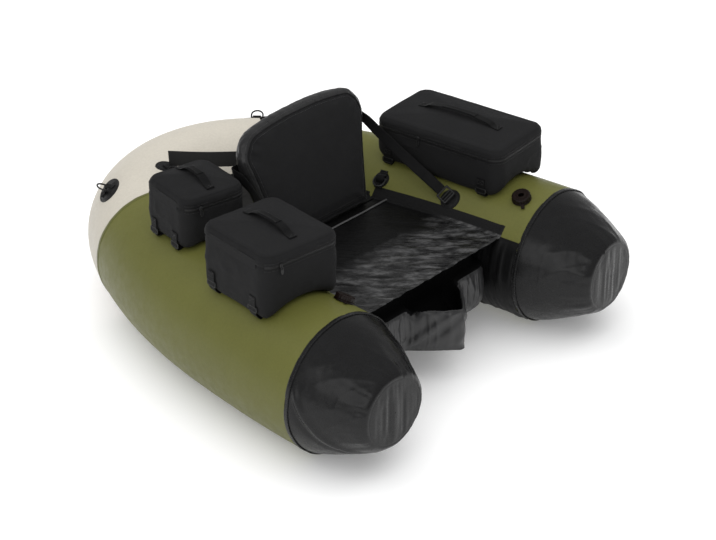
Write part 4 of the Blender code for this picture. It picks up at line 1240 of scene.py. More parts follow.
edge = cargo_ring(DECK_MID, 0.0042)
middle = np.array([0.0, 0.115])
top_rows, low_rows = [], []
for up, off in ((0.0125, 0.0011), (0.0085, 0.0011), (0.0050, 0.0013), (0.0024, 0.0022)):
    line = cargo_ring(DECK_MID + up, off)
    flatten = step(line[:, 1], DECK_BREAK + 0.001, DECK_BREAK + 0.012)
    top_rows.append(np.column_stack([line, DECK_MID + up * flatten]))
    line2 = cargo_ring(DECK_MID + up, off - 0.0009)
    low_rows.append(np.column_stack([line2, DECK_MID + up * flatten - 0.0003
                                     - 0.0011 * (1 - flatten)]))
for k in np.linspace(1.0, 0.0, 54):
    flat = middle + (edge - middle) * max(k, 1e-5)
    tame = 1 - 0.8 * step(k, 0.92, 1.0)
    relief = 0.0022 * fbm(np.column_stack([flat, np.zeros(len(flat))]), 9.0, 3, 41) * tame
    relief = relief - 0.0012 * (1 - k * k)
    relief = relief + 0.0011 * crease(np.column_stack([flat * np.array([9, 22]), flat[:, 0]]), 1.0, 43) * tame
    top_rows.append(np.column_stack([flat, DECK_MID + relief]))
    low_rows.append(np.column_stack([flat, DECK_MID + relief - 0.0014]))
top_rows, low_rows = np.array(top_rows), np.array(low_rows)
shell = Shell()
shell.grid(top_rows, uv=flat_map(top_rows), close_cols=True)
shell.grid(low_rows, uv=flat_map(low_rows), close_cols=True)
shell.grid(np.array([top_rows[0], low_rows[0]]), close_cols=True)
cargo = shell.build("cargo_deck_sheet", DECK_CLOTH, sharp=70)
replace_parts(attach(cargo, "float_tube"), "cargo_deck")

# a flat tape joins the two deck sheets in front of the backrest's foot
half = float(inner_x(DECK_BREAK, 0.2945)) - 0.006
line = [(x, DECK_BREAK, 0.2937) for x in np.linspace(-half, half, 60)]
joint = Shell()
capped(joint, sweep(line, (0, 1.0, 0), strap_section(0.026, 0.0012)))
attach(joint.build("deck_joint_tape", STRAP, sharp=60), "float_tube")


# ---------------------------------------------------------------- soft pieces
def settle(obj, voxel=0.005, pressure=4.0, cap=0.010, hold=None, frames=20):
    """Blows the closed cloth piece up a little with a cloth simulation, so that it
    takes the wrinkles and tension of a filled cover; no point moves more than cap."""
    mesh = obj.data
    remesh = obj.modifiers.new("remesh", "REMESH")
    remesh.mode, remesh.voxel_size = "VOXEL", voxel
    dg = bpy.context.evaluated_depsgraph_get()
    fine = bpy.data.meshes.new_from_object(obj.evaluated_get(dg), depsgraph=dg)
    obj.modifiers.clear()
    obj.data = fine
    start = np.empty(len(fine.vertices) * 3)
    fine.vertices.foreach_get("co", start)
    if hold is not None:
        group = obj.vertex_groups.new(name="held")
        held = [int(i) for i in np.nonzero(hold(start.reshape(-1, 3)))[0]]
        group.add(held, 1.0, "REPLACE")
    cloth = obj.modifiers.new("cloth", "CLOTH")
    cloth.settings.use_pressure = True
    cloth.settings.uniform_pressure_force = pressure
    cloth.settings.quality = 5
    cloth.settings.tension_stiffness = 25
    cloth.settings.compression_stiffness = 25
    cloth.settings.bending_stiffness = 0.4
    cloth.settings.effector_weights.gravity = 0.0
    if hold is not None:
        cloth.settings.vertex_group_mass = "held"
    scene = bpy.context.scene
    for step_frame in range(1, frames + 1):
        scene.frame_set(step_frame)
    dg = bpy.context.evaluated_depsgraph_get()
    puffed = bpy.data.meshes.new_from_object(obj.evaluated_get(dg), depsgraph=dg)
    end = np.empty(len(puffed.vertices) * 3)
    puffed.vertices.foreach_get("co", end)
    obj.modifiers.clear()
    bpy.context.scene.frame_set(1)
    move = (end - start).reshape(-1, 3)
    far = np.linalg.norm(move, axis=1)
    move *= np.minimum(1.0, cap / np.maximum(far, 1e-9))[:, None]
    fine.vertices.foreach_set("co", (start.reshape(-1, 3) + move).ravel())
    bpy.data.meshes.remove(puffed)
    smooth = obj.modifiers.new("finer", "SUBSURF")
    smooth.levels = smooth.render_levels = 1
    dg = bpy.context.evaluated_depsgraph_get()
    final = bpy.data.meshes.new_from_object(obj.evaluated_get(dg), depsgraph=dg)
    obj.modifiers.clear()
    obj.data = final
    for old in (mesh, fine):
        bpy.data.meshes.remove(old)
    final.shade_smooth()
    return obj


def coords(mesh):
    co = np.empty(len(mesh.vertices) * 3)
    mesh.vertices.foreach_get("co", co)
    return co.reshape(-1, 3)


def point_normals(mesh):
    n = np.empty(len(mesh.vertices) * 3)
    mesh.vertex_normals.foreach_get("vector", n)
    return n.reshape(-1, 3)


def box_map(mesh, tilt=0.0):
    """Cloth map in metres for a remeshed piece, taken along the side each face looks to."""
    co = coords(mesh)
    layer = mesh.uv_layers.get("cloth") or mesh.uv_layers.new(name="cloth")
    loops = np.empty(len(mesh.loops), np.int32)
    mesh.loops.foreach_get("vertex_index", loops)
    face_n = np.empty(len(mesh.polygons) * 3)
    mesh.polygons.foreach_get("normal", face_n)
    face_n = face_n.reshape(-1, 3)
    total = np.empty(len(mesh.polygons), np.int32)
    mesh.polygons.foreach_get("loop_total", total)
    n = np.repeat(face_n, total, axis=0)
    c, s = math.cos(tilt), math.sin(tilt)
    p = co[loops]
    up = p[:, 2] * c + p[:, 1] * s
    deep = p[:, 1] * c - p[:, 2] * s
    n_up = n[:, 2] * c + n[:, 1] * s
    n_deep = n[:, 1] * c - n[:, 2] * s
    a = np.abs(np.stack([n[:, 0], n_deep, n_up], -1)).argmax(-1)
    u = np.where(a == 0, deep, p[:, 0])
    v = np.where(a == 2, deep, up)
    layer.data.foreach_set("uv", np.stack([u, v], -1).astype(np.float32).ravel())


def push(mesh, amount):
    """Moves every point of the mesh along its normal."""
    co = coords(mesh) + point_normals(mesh) * np.asarray(amount)[:, None]
    mesh.vertices.foreach_set("co", co.ravel())
    mesh.update()


def distance_to(co, path, closed=False):
    """Distance of points from a polyline."""
    if closed:
        path = np.concatenate([path, path[:1]])
    best = np.full(len(co), 1e9)
    for a, b in zip(path[:-1], path[1:]):
        d = b - a
        t = np.clip(((co - a) @ d) / max(d @ d, 1e-12), 0, 1)
        best = np.minimum(best, np.linalg.norm(co - a - t[:, None] * d, axis=1))
    return best


def on_surface(mesh_obj, path, lift=0.0003):
    """A path laid on a mesh, with the surface normals under it."""
    bm = bmesh.new()
    bm.from_mesh(mesh_obj.data)
    from mathutils.bvhtree import BVHTree
    tree = BVHTree.FromBMesh(bm)
    pts, norms = [], []
    for p in path:
        hit, normal, _, _ = tree.find_nearest(Vector(p))
        pts.append(np.array(hit + normal * lift))
        norms.append(np.array(normal))
    bm.free()
    norms = np.array(norms)
    for _ in range(2):
        norms = (norms + np.roll(norms, 1, 0) + np.roll(norms, -1, 0)) / 3
    return np.array(pts), norms


# ---------------------------------------------------------------- seat cushion
POMMEL_A, POMMEL_B = 0.100, 0.104


def pommel_reach(x):
    """How far the wedge of the pommel stands in front of the cushion at x."""
    t = 1 - (np.sqrt(np.asarray(x) ** 2 + 0.011 ** 2) - 0.011) / POMMEL_A
    return POMMEL_B * 0.5 * (t + np.sqrt(t * t + 0.002))


def cushion_section(x):
    """Closed side section (y, z) of the cushion at x: recessed under the deck's edge,
    a front wall below, and in the middle the pommel with its deep pocket."""
    d = float(pommel_reach(x))
    k = float(step(d, 0.012, 0.036))
    yo = CUSHION_FRONT - d

    def both(p, q):
        return (p[0] + (q[0] - p[0]) * k, p[1] + (q[1] - p[1]) * k)

    return [(-0.090, 0.2835), (-0.200, 0.2855), (-0.320, 0.2855), (-0.378, 0.2845),
            (-0.399, 0.2740), (-0.403, 0.2560), both((-0.405, 0.2400), (-0.406, 0.2280)),
            both((-0.414, 0.2315), (-0.412, 0.1760)), both((-0.424, 0.2290), (yo + 0.034, 0.1520)),
            both((-0.432, 0.2275), (yo + 0.018, 0.1640)), both((-0.4385, 0.2240), (yo + 0.0125, 0.2060)),
            both((-0.4430, 0.2160), (yo + 0.0060, 0.2215)), both((yo - 0.0020, 0.1985), (yo - 0.0018, 0.2110)),
            (yo - 0.0052, 0.1700), (yo - 0.0052, 0.1420), (yo + 0.0010, 0.1140),
            (yo + 0.0170, 0.0985), (-0.330, 0.0965), (-0.180, 0.0965), (-0.088, 0.1050),
            (-0.070, 0.1500), (-0.070, 0.2300), (-0.078, 0.2720)]


def cushion_grid():
    rows = []
    for u in np.linspace(-1, 1, 191):
        x_front = abs(u) * (float(inner_x(-0.45, TUBE_Z)) - 0.008)
        section = smooth_loop(cushion_section(x_front), 200)
        t = max(0.0, (abs(u) - 0.78) / 0.22)
        inset = 0.042 * (1 - math.sqrt(max(1 - t * t, 0.0)))
        mid = np.array([-0.25, 0.19])
        d = section - mid
        far = np.linalg.norm(d, axis=1)
        section = mid + d * ((far - inset) / far)[:, None]
        x = u * (inner_x(section[:, 0], TUBE_Z) - 0.008)
        rows.append(np.column_stack([x, section]))
    return np.array(rows)


grid = cushion_grid()
n = normals_of(grid, close_cols=True)
x, y, z = (grid[..., k] for k in range(3))
yo = CUSHION_FRONT - pommel_reach(x)
face = step(-n[..., 1] + 0.6 * np.abs(n[..., 0]), 0.15, 0.75) * step(yo + 0.009 - y, 0.0, 0.006)
folds = (0.0048 * noise(vec3(x * 46 + 0.9 * z * 46 * np.sign(x), z * 5.0, y * 4), 1.0, 51)
         + 0.0030 * (crease(vec3(x * 62, z * 6.5, 3.0), 1.0, 52, 2.5) - 0.3)
         + 0.0012 * noise(vec3(x * 140, z * 16, 9.0), 1.0, 53))
calm = 0.0016 * fbm(grid, 13.0, 3, 54)
grid = grid + n * (folds * face * step(z, 0.09, 0.13) * 0.75 + calm * (1 - step(z, 0.278, 0.284)))[..., None]
grid[..., 2] = np.minimum(grid[..., 2], 0.2862)
shell = Shell()
shell.grid(grid, close_cols=True)
for row in (grid[0], grid[-1]):
    centre = row.mean(0)
    fan = np.array([centre + (row - centre) * k for k in (1.0, 0.75, 0.45, 0.2, 1e-5)])
    shell.grid(fan, close_cols=True)
cushion = shell.build("seat_cushion", [CUSHION_CLOTH, SHADE_PAINTED_CLOTH], sharp=75)
co_mid = np.array([p.center[:] for p in cushion.data.polygons])
yo = CUSHION_FRONT - pommel_reach(co_mid[:, 0])
# the pommel's pocket and the recess under the deck's edge take the near-black cloth, which is painted shade
pocket = (co_mid[:, 1] > yo + 0.0085) & (co_mid[:, 1] < -0.373) & (co_mid[:, 2] > 0.140)
under = (co_mid[:, 2] > 0.2235) & (co_mid[:, 1] < -0.358)
cushion.data.polygons.foreach_set("material_index", (pocket | under).astype(np.int32))
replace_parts(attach(cushion, "float_tube"), "seat_cushion_cover", "seat_air_cell")

# piping along the pommel's upper rim
across_ = np.linspace(-0.070, 0.070, 90)
rim = np.column_stack([across_, CUSHION_FRONT - pommel_reach(across_) + 0.0045, 0 * across_ + 0.2225])
rim, rim_up = on_surface(cushion, rim, 0.0008)
pipe = Shell()
capped(pipe, sweep(rim, rim_up, circle(0.0019, 10)))
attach(pipe.build("pommel_rim_piping", CUSHION_CLOTH), "float_tube")

# welt across the deck in front of the backrest's foot; its pale colour is a painted highlight
half = 0.238
line = [(x, -0.0765, DECK_MID + 0.0026 + 0.0005 * math.sin(x * 37)) for x in np.linspace(-half, half, 90)]
welt = Shell()
capped(welt, sweep(line, (0, 1.0, 0), strap_section(0.0065, 0.0042)))
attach(welt.build("deck_rear_welt", WELT_PAINTED_HIGHLIGHT), "float_tube")


# ---------------------------------------------------------------- backrest
BACK_UP = Vector((0, math.sin(BACK_TILT), math.cos(BACK_TILT)))
BACK_N = Vector((0, math.cos(BACK_TILT), -math.sin(BACK_TILT)))
UP_A, N_A, FOOT_A = np.array(BACK_UP), np.array(BACK_N), np.array(BACK_FOOT)


def back_point(u, v, w):
    return BACK_FOOT + Vector((u, 0, 0)) + BACK_UP * v + BACK_N * w


def back_half(v):
    k = min(max(v / (BACK_H * 0.75), 0.0), 1.0)
    return BACK_HALF_LOW + (BACK_HALF_TOP - BACK_HALF_LOW) * k ** 0.9


def back_outline():
    pts = []
    r_low, r_top = 0.035, 0.085
    for a in (-90, -45, 0):
        t = math.radians(a)
        pts.append((back_half(r_low) - r_low + r_low * math.cos(t), r_low + r_low * math.sin(t)))
    for v in (0.12, 0.20):
        pts.append((back_half(v), v))
    for a in (0, 30, 60, 90):
        t = math.radians(a)
        pts.append((back_half(BACK_H - r_top) - r_top + r_top * math.cos(t),
                    BACK_H - 0.010 - r_top + r_top * math.sin(t)))
    pts.append((0.070, BACK_H - 0.001))
    return pts + [(0.0, BACK_H)] + [(-u, v) for u, v in reversed(pts)] + [(0.0, 0.0)]


B_LINE = smooth_loop(back_outline(), 260)
B_MID = np.array([0.0, BACK_H * 0.5])
tangent = np.roll(B_LINE, -1, 0) - np.roll(B_LINE, 1, 0)
B_IN = np.stack([-tangent[:, 1], tangent[:, 0]], -1)
B_IN /= np.linalg.norm(B_IN, axis=1)[:, None]
if np.sum(B_IN * (B_MID - B_LINE)) < 0:
    B_IN = -B_IN


def back_row(inset, w, scale=1.0, raise_foot=0.0):
    """Points round the backrest, `inset` inside its outline and at depth w."""
    line = B_LINE + B_IN * inset
    line = B_MID + (line - B_MID) * scale
    w = np.broadcast_to(w, (len(line),))
    p = FOOT_A + line[:, :1] * np.array([1.0, 0, 0]) + line[:, 1:] * UP_A + w[:, None] * N_A
    slope = np.where(p[:, 1] < HINGE.y, math.tan(math.radians(18.0)), math.tan(math.radians(14.0)))
    low = HINGE.z + np.abs(p[:, 1] - HINGE.y) * slope + inset * scale + raise_foot
    lift = np.maximum(low - p[:, 2], 0.0)
    return p + (lift / BACK_UP.z)[:, None] * UP_A


rows = [back_row(0.030, -0.0018 + 0.0052 * k ** 3, k) for k in np.linspace(1e-4, 1.0, 34)]
for a in np.linspace(-80, 80, 26):
    t = math.radians(a)
    rows.append(back_row(0.0245 * (1 - math.cos(t)) + 0.0005, 0.0265 + 0.0235 * math.sin(t)))
rows += [back_row(0.030, 0.0500 + 0.0015 * (1 - k ** 3), k) for k in np.linspace(1.0, 1e-4, 24)]
pad = Shell().grid(np.array(rows), close_cols=True).build("backrest_pad", [PAD_CLOTH, GUSSET])


def pad_is_held(points):
    """The foot is tied down and the rear face is glued to the stiff panel."""
    return (points[:, 2] < HINGE.z + 0.014) | ((points - FOOT_A) @ N_A > 0.0435)


settle(pad, voxel=0.0055, pressure=2.2, cap=0.0040, hold=pad_is_held)
mesh = pad.data
co = coords(mesh)
rel = co - FOOT_A
pv, pw = rel @ UP_A, rel @ N_A
front = step(-(pw - 0.026), 0.004, 0.018)
seam_front = back_row(0.0185, 0.0020)
seam_rear = back_row(0.0165, 0.0500)
d_front, d_rear = distance_to(co, seam_front[::2], True), distance_to(co, seam_rear[::2], True)
ring_a = np.arctan2(pv - BACK_H / 2, co[:, 0])
pucker = noise(vec3(13 * np.cos(ring_a), 13 * np.sin(ring_a), 0.5), 1.0, 61)
amount = (-0.0019 * np.exp(-(d_front / 0.0032) ** 2) - 0.0012 * np.exp(-(d_rear / 0.0032) ** 2)
          + 0.0010 * pucker * np.exp(-d_front / 0.020)
          + 0.0009 * fbm(vec3(co[:, 0], pv, pw), 9.0, 3, 62)
          + 0.0010 * (crease(vec3(co[:, 0] * 5, pv * 9, pw * 9), 1.0, 63, 4.0) - 0.2) * (1 - front)
          + 0.0006 * fbm(vec3(co[:, 0], pv, pw), 55.0, 2, 64))
push(mesh, amount * step(co[:, 2], HINGE.z + 0.001, HINGE.z + 0.010))
co = coords(mesh)
co[:, 2] = np.maximum(co[:, 2], HINGE.z + 0.0004)
mesh.vertices.foreach_set("co", co.ravel())
mesh.update()
box_map(mesh, -BACK_TILT)
mesh.materials.clear()
mesh.materials.append(PAD_CLOTH)
mesh.materials.append(GUSSET)
mids = np.array([p.center[:] for p in mesh.polygons])
rel = mids - FOOT_A
mu, mv, mw = mids[:, 0], rel @ UP_A, rel @ N_A
inside = np.full(len(mids), False)
seam_uv = np.column_stack([seam_front[:, 0], (seam_front - FOOT_A) @ UP_A])
ang = np.arctan2(mv - BACK_H / 2, mu)
seam_ang = np.arctan2(seam_uv[:, 1] - BACK_H / 2, seam_uv[:, 0])
order = np.argsort(seam_ang)
seam_far = np.hypot(seam_uv[:, 0], seam_uv[:, 1] - BACK_H / 2)
limit = np.interp(ang, seam_ang[order], seam_far[order], period=2 * math.pi)
inside = (np.hypot(mu, mv - BACK_H / 2) < limit) & (mw < 0.020)
inside |= (mids[:, 2] < HINGE.z + 0.032) & (mw < 0.034)
mesh.polygons.foreach_set("material_index", (~inside).astype(np.int32))
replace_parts(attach(pad, "backrest"), "backrest_cover", "backrest_air_cell")

# piping in the front seam, with its stitching beside it
line, norms = on_surface(pad, seam_front[::2], 0.0004)
pipe = Shell()
closed = np.concatenate([line[-1:], line, line[:1]])
grid = sweep(closed, np.concatenate([norms[-1:], norms, norms[:1]]), circle(0.0016, 8))[1:-1]
pipe.grid(grid, close_rows=True, close_cols=True)
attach(pipe.build("backrest_piping", PIPING), "backrest")
rows = Shell()
for seam, extra in ((back_row(0.0265, 0.0), 0.0001), (back_row(0.0100, 0.010), 0.0001)):
    line, norms = on_surface(pad, seam, extra)
    keep = line[:, 2] > HINGE.z + 0.012
    stitches(rows, line[keep], norms[keep])
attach(rows.build("backrest_stitches", THREAD), "backrest")

# stiff back panel with a bound edge, a map pocket and stitching
panel_w = BACK_T + 0.0006
rows = []
for k, w in ((1e-4, 0.0), (0.5, 0.0), (0.8, 0.0), (0.93, 0.0), (0.985, 0.0003), (1.0, 0.0012),
             (1.0, 0.0030), (0.985, 0.0040), (0.93, 0.0042), (0.90, 0.0034), (0.8, 0.0034),
             (0.5, 0.0034), (1e-4, 0.0034)):
    rows.append(back_row(0.026, panel_w + w, k, 0.004))
panel = Shell().grid(np.array(rows), close_cols=True).build("backrest_panel", PATCH_CLOTH, sharp=60)
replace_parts(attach(panel, "backrest"), "backrest_back_panel")
rows = Shell()
line = back_row(0.026, panel_w + 0.0042, 0.95, 0.004)
stitches(rows, line, N_A, closed=True)
pocket_line = [np.array(back_point(u, v, panel_w + 0.0070)) for u, v in
               ((-0.095, 0.185), (-0.095, 0.075), (-0.080, 0.060), (0.080, 0.060), (0.095, 0.075),
                (0.095, 0.185))]
stitches(rows, pocket_line, N_A)
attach(rows.build("backrest_panel_stitches", THREAD), "backrest")
pu, pv_ = np.meshgrid(np.linspace(-1, 1, 50), np.linspace(0, 1, 40))
round_c = np.clip(0.15 - pv_, 0, 1) * 0.12
uu = pu * (0.100 - round_c)
vv = 0.055 + pv_ * 0.150
bulge = 0.0022 * (1 - pu ** 4) * (1 - (2 * pv_ - 1) ** 4)
ww = panel_w + 0.0046 + bulge + 0.0007 * fbm(vec3(uu * 1.0, vv, 0), 25.0, 3, 66)
top = FOOT_A + uu[..., None] * np.array([1.0, 0, 0]) + vv[..., None] * UP_A + ww[..., None] * N_A
low = top - N_A * (ww - panel_w - 0.0036)[..., None]
pocket_shell = Shell()
sheet_shell(pocket_shell, top, low)
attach(pocket_shell.build("backrest_map_pocket", BAG_CLOTH, sharp=60), "backrest")


# ---------------------------------------------------------------- backrest straps
def box_stitch(shell, centre, along, across, normal, length, width, mat=1, pitch=0.003):
    """A sewn box with a cross."""
    c, a, b = (np.array(v, float) for v in (centre, along, across))
    pts = [c + a * (x * length / 2) + b * (y * width / 2) for x, y in
           ((-1, -1), (1, -1), (1, 1), (-1, 1), (-1, -1), (1, 1), (1, -1), (-1, 1))]
    stitches(shell, pts, normal, pitch=pitch, length=pitch * 0.72, mat=mat)


def turned(path, sides, n=90):
    """Evenly spaced path and width directions from control points."""
    both = smooth_loop([np.concatenate([np.array(p), np.array(s)]) for p, s in zip(path, sides)],
                       n, closed=False)
    return both[:, :3], both[:, 3:]


for sign, hand in HANDS:
    s_a, phi_a = FRONT_ANCHORS[hand]
    patch(hand + "_front_anchor_patch", sign * s_a, phi_a, 0.030, hand + "_front_strap_anchor")
    foot, normal, ahead, grow = on_tube(sign * s_a, phi_a, 0.0105)
    v0, w_back = 0.245, panel_w + 0.004 + 0.0022
    start = back_point(sign * 0.120, v0, w_back)
    turn_a = back_point(sign * back_half(v0), v0, w_back)
    turn_b = back_point(sign * (back_half(v0) + 0.0125), v0 - 0.004, BACK_T * 0.62)
    buckle_dir = (foot - turn_b).normalized()
    stop = foot - buckle_dir * 0.030
    side_tube = buckle_dir.cross(normal).normalized()
    if side_tube.dot(BACK_UP) < 0:
        side_tube = -side_tube
    path = [start, start.lerp(turn_a, 0.55), turn_a.lerp(start, 0.06) + BACK_N * 0.0006,
            turn_a + Vector((sign * 0.0085, 0, 0)) - BACK_N * 0.004,
            turn_b + BACK_N * 0.010]
    sides = [BACK_UP] * 5
    for k in (0.06, 0.2, 0.35, 0.5, 0.65, 0.8, 1.0):
        # the right one bows inwards a little, clear of the bag beside it
        bow = 0.012 if hand == "right" else 0.0
        path.append(turn_b.lerp(stop, k) + Vector((-sign * bow, 0, -0.004)) * math.sin(math.pi * k ** 0.75))
        sides.append(BACK_UP.lerp(side_tube, k))
    line, side = turned(path, sides, 150)
    strap = Shell()
    capped(strap, sweep(line, side, strap_section(FRONT_STRAP_W, 0.0022)))
    # the folded tail hangs back beside the strap behind the buckle
    tail = [np.array(stop.lerp(turn_b, k)) - np.array(normal) * 0.0 for k in (0.0, 0.05, 0.12, 0.20)]
    off = np.array(buckle_dir.cross(side_tube).normalized())
    if off @ np.array(normal) < 0:
        off = -off
    tail = [p + off * h for p, h in zip(tail, (0.0030, 0.0036, 0.0046, 0.0075))]
    tline, tside = turned(tail, [side_tube] * 4, 30)
    capped(strap, sweep(tline, tside, strap_section(FRONT_STRAP_W * 0.96, 0.0020)))
    box_stitch(strap, start + BACK_N * 0.0014 + Vector((sign * 0.016, 0, 0)), (1, 0, 0), BACK_UP,
               BACK_N, 0.024, FRONT_STRAP_W * 0.7)
    obj = strap.build(hand + "_front_web", [STRAP, THREAD], sharp=60)
    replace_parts(obj, hand + "_front_strap")
    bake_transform(obj)

    # ladder buckle
    z_axis = buckle_dir.cross(side_tube).normalized()
    m = Matrix((buckle_dir, side_tube, z_axis)).transposed().to_4x4()
    m.translation = stop + buckle_dir * 0.018
    half_w, half_l = FRONT_STRAP_W / 2 + 0.005, 0.0165
    buckle = Shell()
    for loop in ([(-half_l, -half_w), (half_l, -half_w), (half_l, half_w), (-half_l, half_w)],):
        pts = []
        for i, p in enumerate(loop):
            q, r_ = np.array(loop[i - 1]), np.array(loop[(i + 1) % 4])
            p = np.array(p)
            for other in (q, r_):
                d = (other - p) / np.linalg.norm(other - p)
                pts.append(p + d * 0.003)
        ring = smooth_loop([np.array(m @ Vector((x * 0.88, y * 0.93, 0))) for x, y in pts], 72)
        closed = np.concatenate([ring[-1:], ring, ring[:1]])
        section = strap_section(0.0060, 0.0050)
        grid = sweep(closed, np.array(z_axis), np.array([(q * 0.98, p * 0.98) for p, q in section]))[1:-1]
        buckle.grid(grid, close_rows=True, close_cols=True)
    for x in (-0.0005, 0.0075):
        bar = [np.array(m @ Vector((x, y, 0.0004 * (1 if x > 0 else -1))))
               for y in np.linspace(-half_w * 0.9, half_w * 0.9, 14)]
        capped(buckle, sweep(bar, np.array(buckle_dir), strap_section(0.0042, 0.0044)))
    obj = buckle.build(hand + "_ladder_buckle", PLASTIC, sharp=50)
    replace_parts(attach(obj, "float_tube"), hand + "_strap_buckle")
    # short web from the buckle down to its patch
    down = [stop + buckle_dir * 0.0275, stop + buckle_dir * 0.0335 - Vector(normal) * 0.001,
            foot + buckle_dir * 0.010 - normal * 0.0062, foot + buckle_dir * 0.024 - normal * 0.0072]
    dline, dside = turned(down, [side_tube] * 4, 30)
    web = Shell()
    capped(web, sweep(dline, dside, strap_section(FRONT_STRAP_W * 0.92, 0.0020)))
    box_stitch(web, foot + buckle_dir * 0.017 - normal * 0.0057, buckle_dir, side_tube, normal,
               0.013, FRONT_STRAP_W * 0.62)
    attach(web.build(hand + "_buckle_web", [STRAP, THREAD], sharp=60), "float_tube")

    # rear strap, which comes to stand on edge on its patch at the stern's crown
    s_b, phi_b = REAR_ANCHORS[hand]
    patch(hand + "_rear_anchor_patch", sign * s_b, phi_b, 0.034, hand + "_rear_strap_anchor")
    foot, normal, ahead, grow = on_tube(sign * s_b, phi_b, 0.0062 + STRAP_W / 2)
    v1, w_rear = 0.262, w_back + 0.0036
    path = [back_point(sign * 0.110, v1, w_rear), back_point(sign * 0.138, v1, w_rear),
            back_point(sign * 0.160, v1, w_rear), back_point(sign * 0.178, v1, w_rear + 0.008)]
    sides = [BACK_UP] * 4
    for k in (0.12, 0.34, 0.5, 0.67, 0.85, 0.95, 1.0):
        path.append(path[3].lerp(foot, k) + Vector((0, 0, -0.003 * math.sin(math.pi * k))))
        sides.append(BACK_UP.lerp(normal, min(k * 1.15, 1.0)))
    line, side = turned(path, sides, 130)
    strap = Shell()
    capped(strap, sweep(line, side, strap_section(STRAP_W, 0.0022)))
    rear_axis = back_point(sign * 0.125, v1, w_rear + 0.0014)
    box_stitch(strap, rear_axis, (1, 0, 0), BACK_UP, BACK_N, 0.022, STRAP_W * 0.7)
    obj = strap.build(hand + "_rear_web", [STRAP, THREAD], sharp=60)
    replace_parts(obj, hand + "_rear_strap")
    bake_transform(obj)
    # the sewn foot of that strap on its patch
    away = (foot - path[3])
    away = (away - normal * away.dot(normal)).normalized()
    low = foot - normal * (STRAP_W / 2 + 0.0015)
    tab = Shell()
    fold = [low - away * 0.030 + normal * 0.010, low - away * 0.022 + normal * 0.001,
            low - away * 0.008 - normal * 0.0015, low + away * 0.006 - normal * 0.0018]
    tline, tside = turned(fold, [away.cross(normal)] * 4, 26)
    capped(tab, sweep(tline, tside, strap_section(0.026, 0.0018)))
    box_stitch(tab, low - away * 0.004 - normal * 0.0004, away, away.cross(normal), normal,
               0.012, 0.018)
    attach(tab.build(hand + "_rear_web_foot", [STRAP, THREAD], sharp=60), "float_tube")


# ---------------------------------------------------------------- gear bags
AROUND = 208


def bag_plan(a, b, r, inset):
    """Rounded rectangle with AROUND points, always at the same angles."""
    a, b, r = a - inset, b - inset, max(r - inset, 0.005)
    pts = []
    per = AROUND // 4
    corner = 22
    straight = per - corner
    for cx, cy, base in ((a - r, b - r, 0), (-a + r, b - r, 90), (-a + r, -b + r, 180),
                         (a - r, -b + r, 270)):
        for k in range(corner):
            t = math.radians(base + 90 * k / (corner - 1))
            pts.append((cx + r * math.cos(t), cy + r * math.sin(t)))
        nxt = {0: (-a + r, b), 90: (-a, -b + r), 180: (a - r, -b), 270: (a, b - r)}[base]
        last = np.array(pts[-1])
        for k in range(1, straight + 1):
            pts.append(tuple(last + (np.array(nxt) - last) * k / (straight + 1)))
    return np.array(pts)


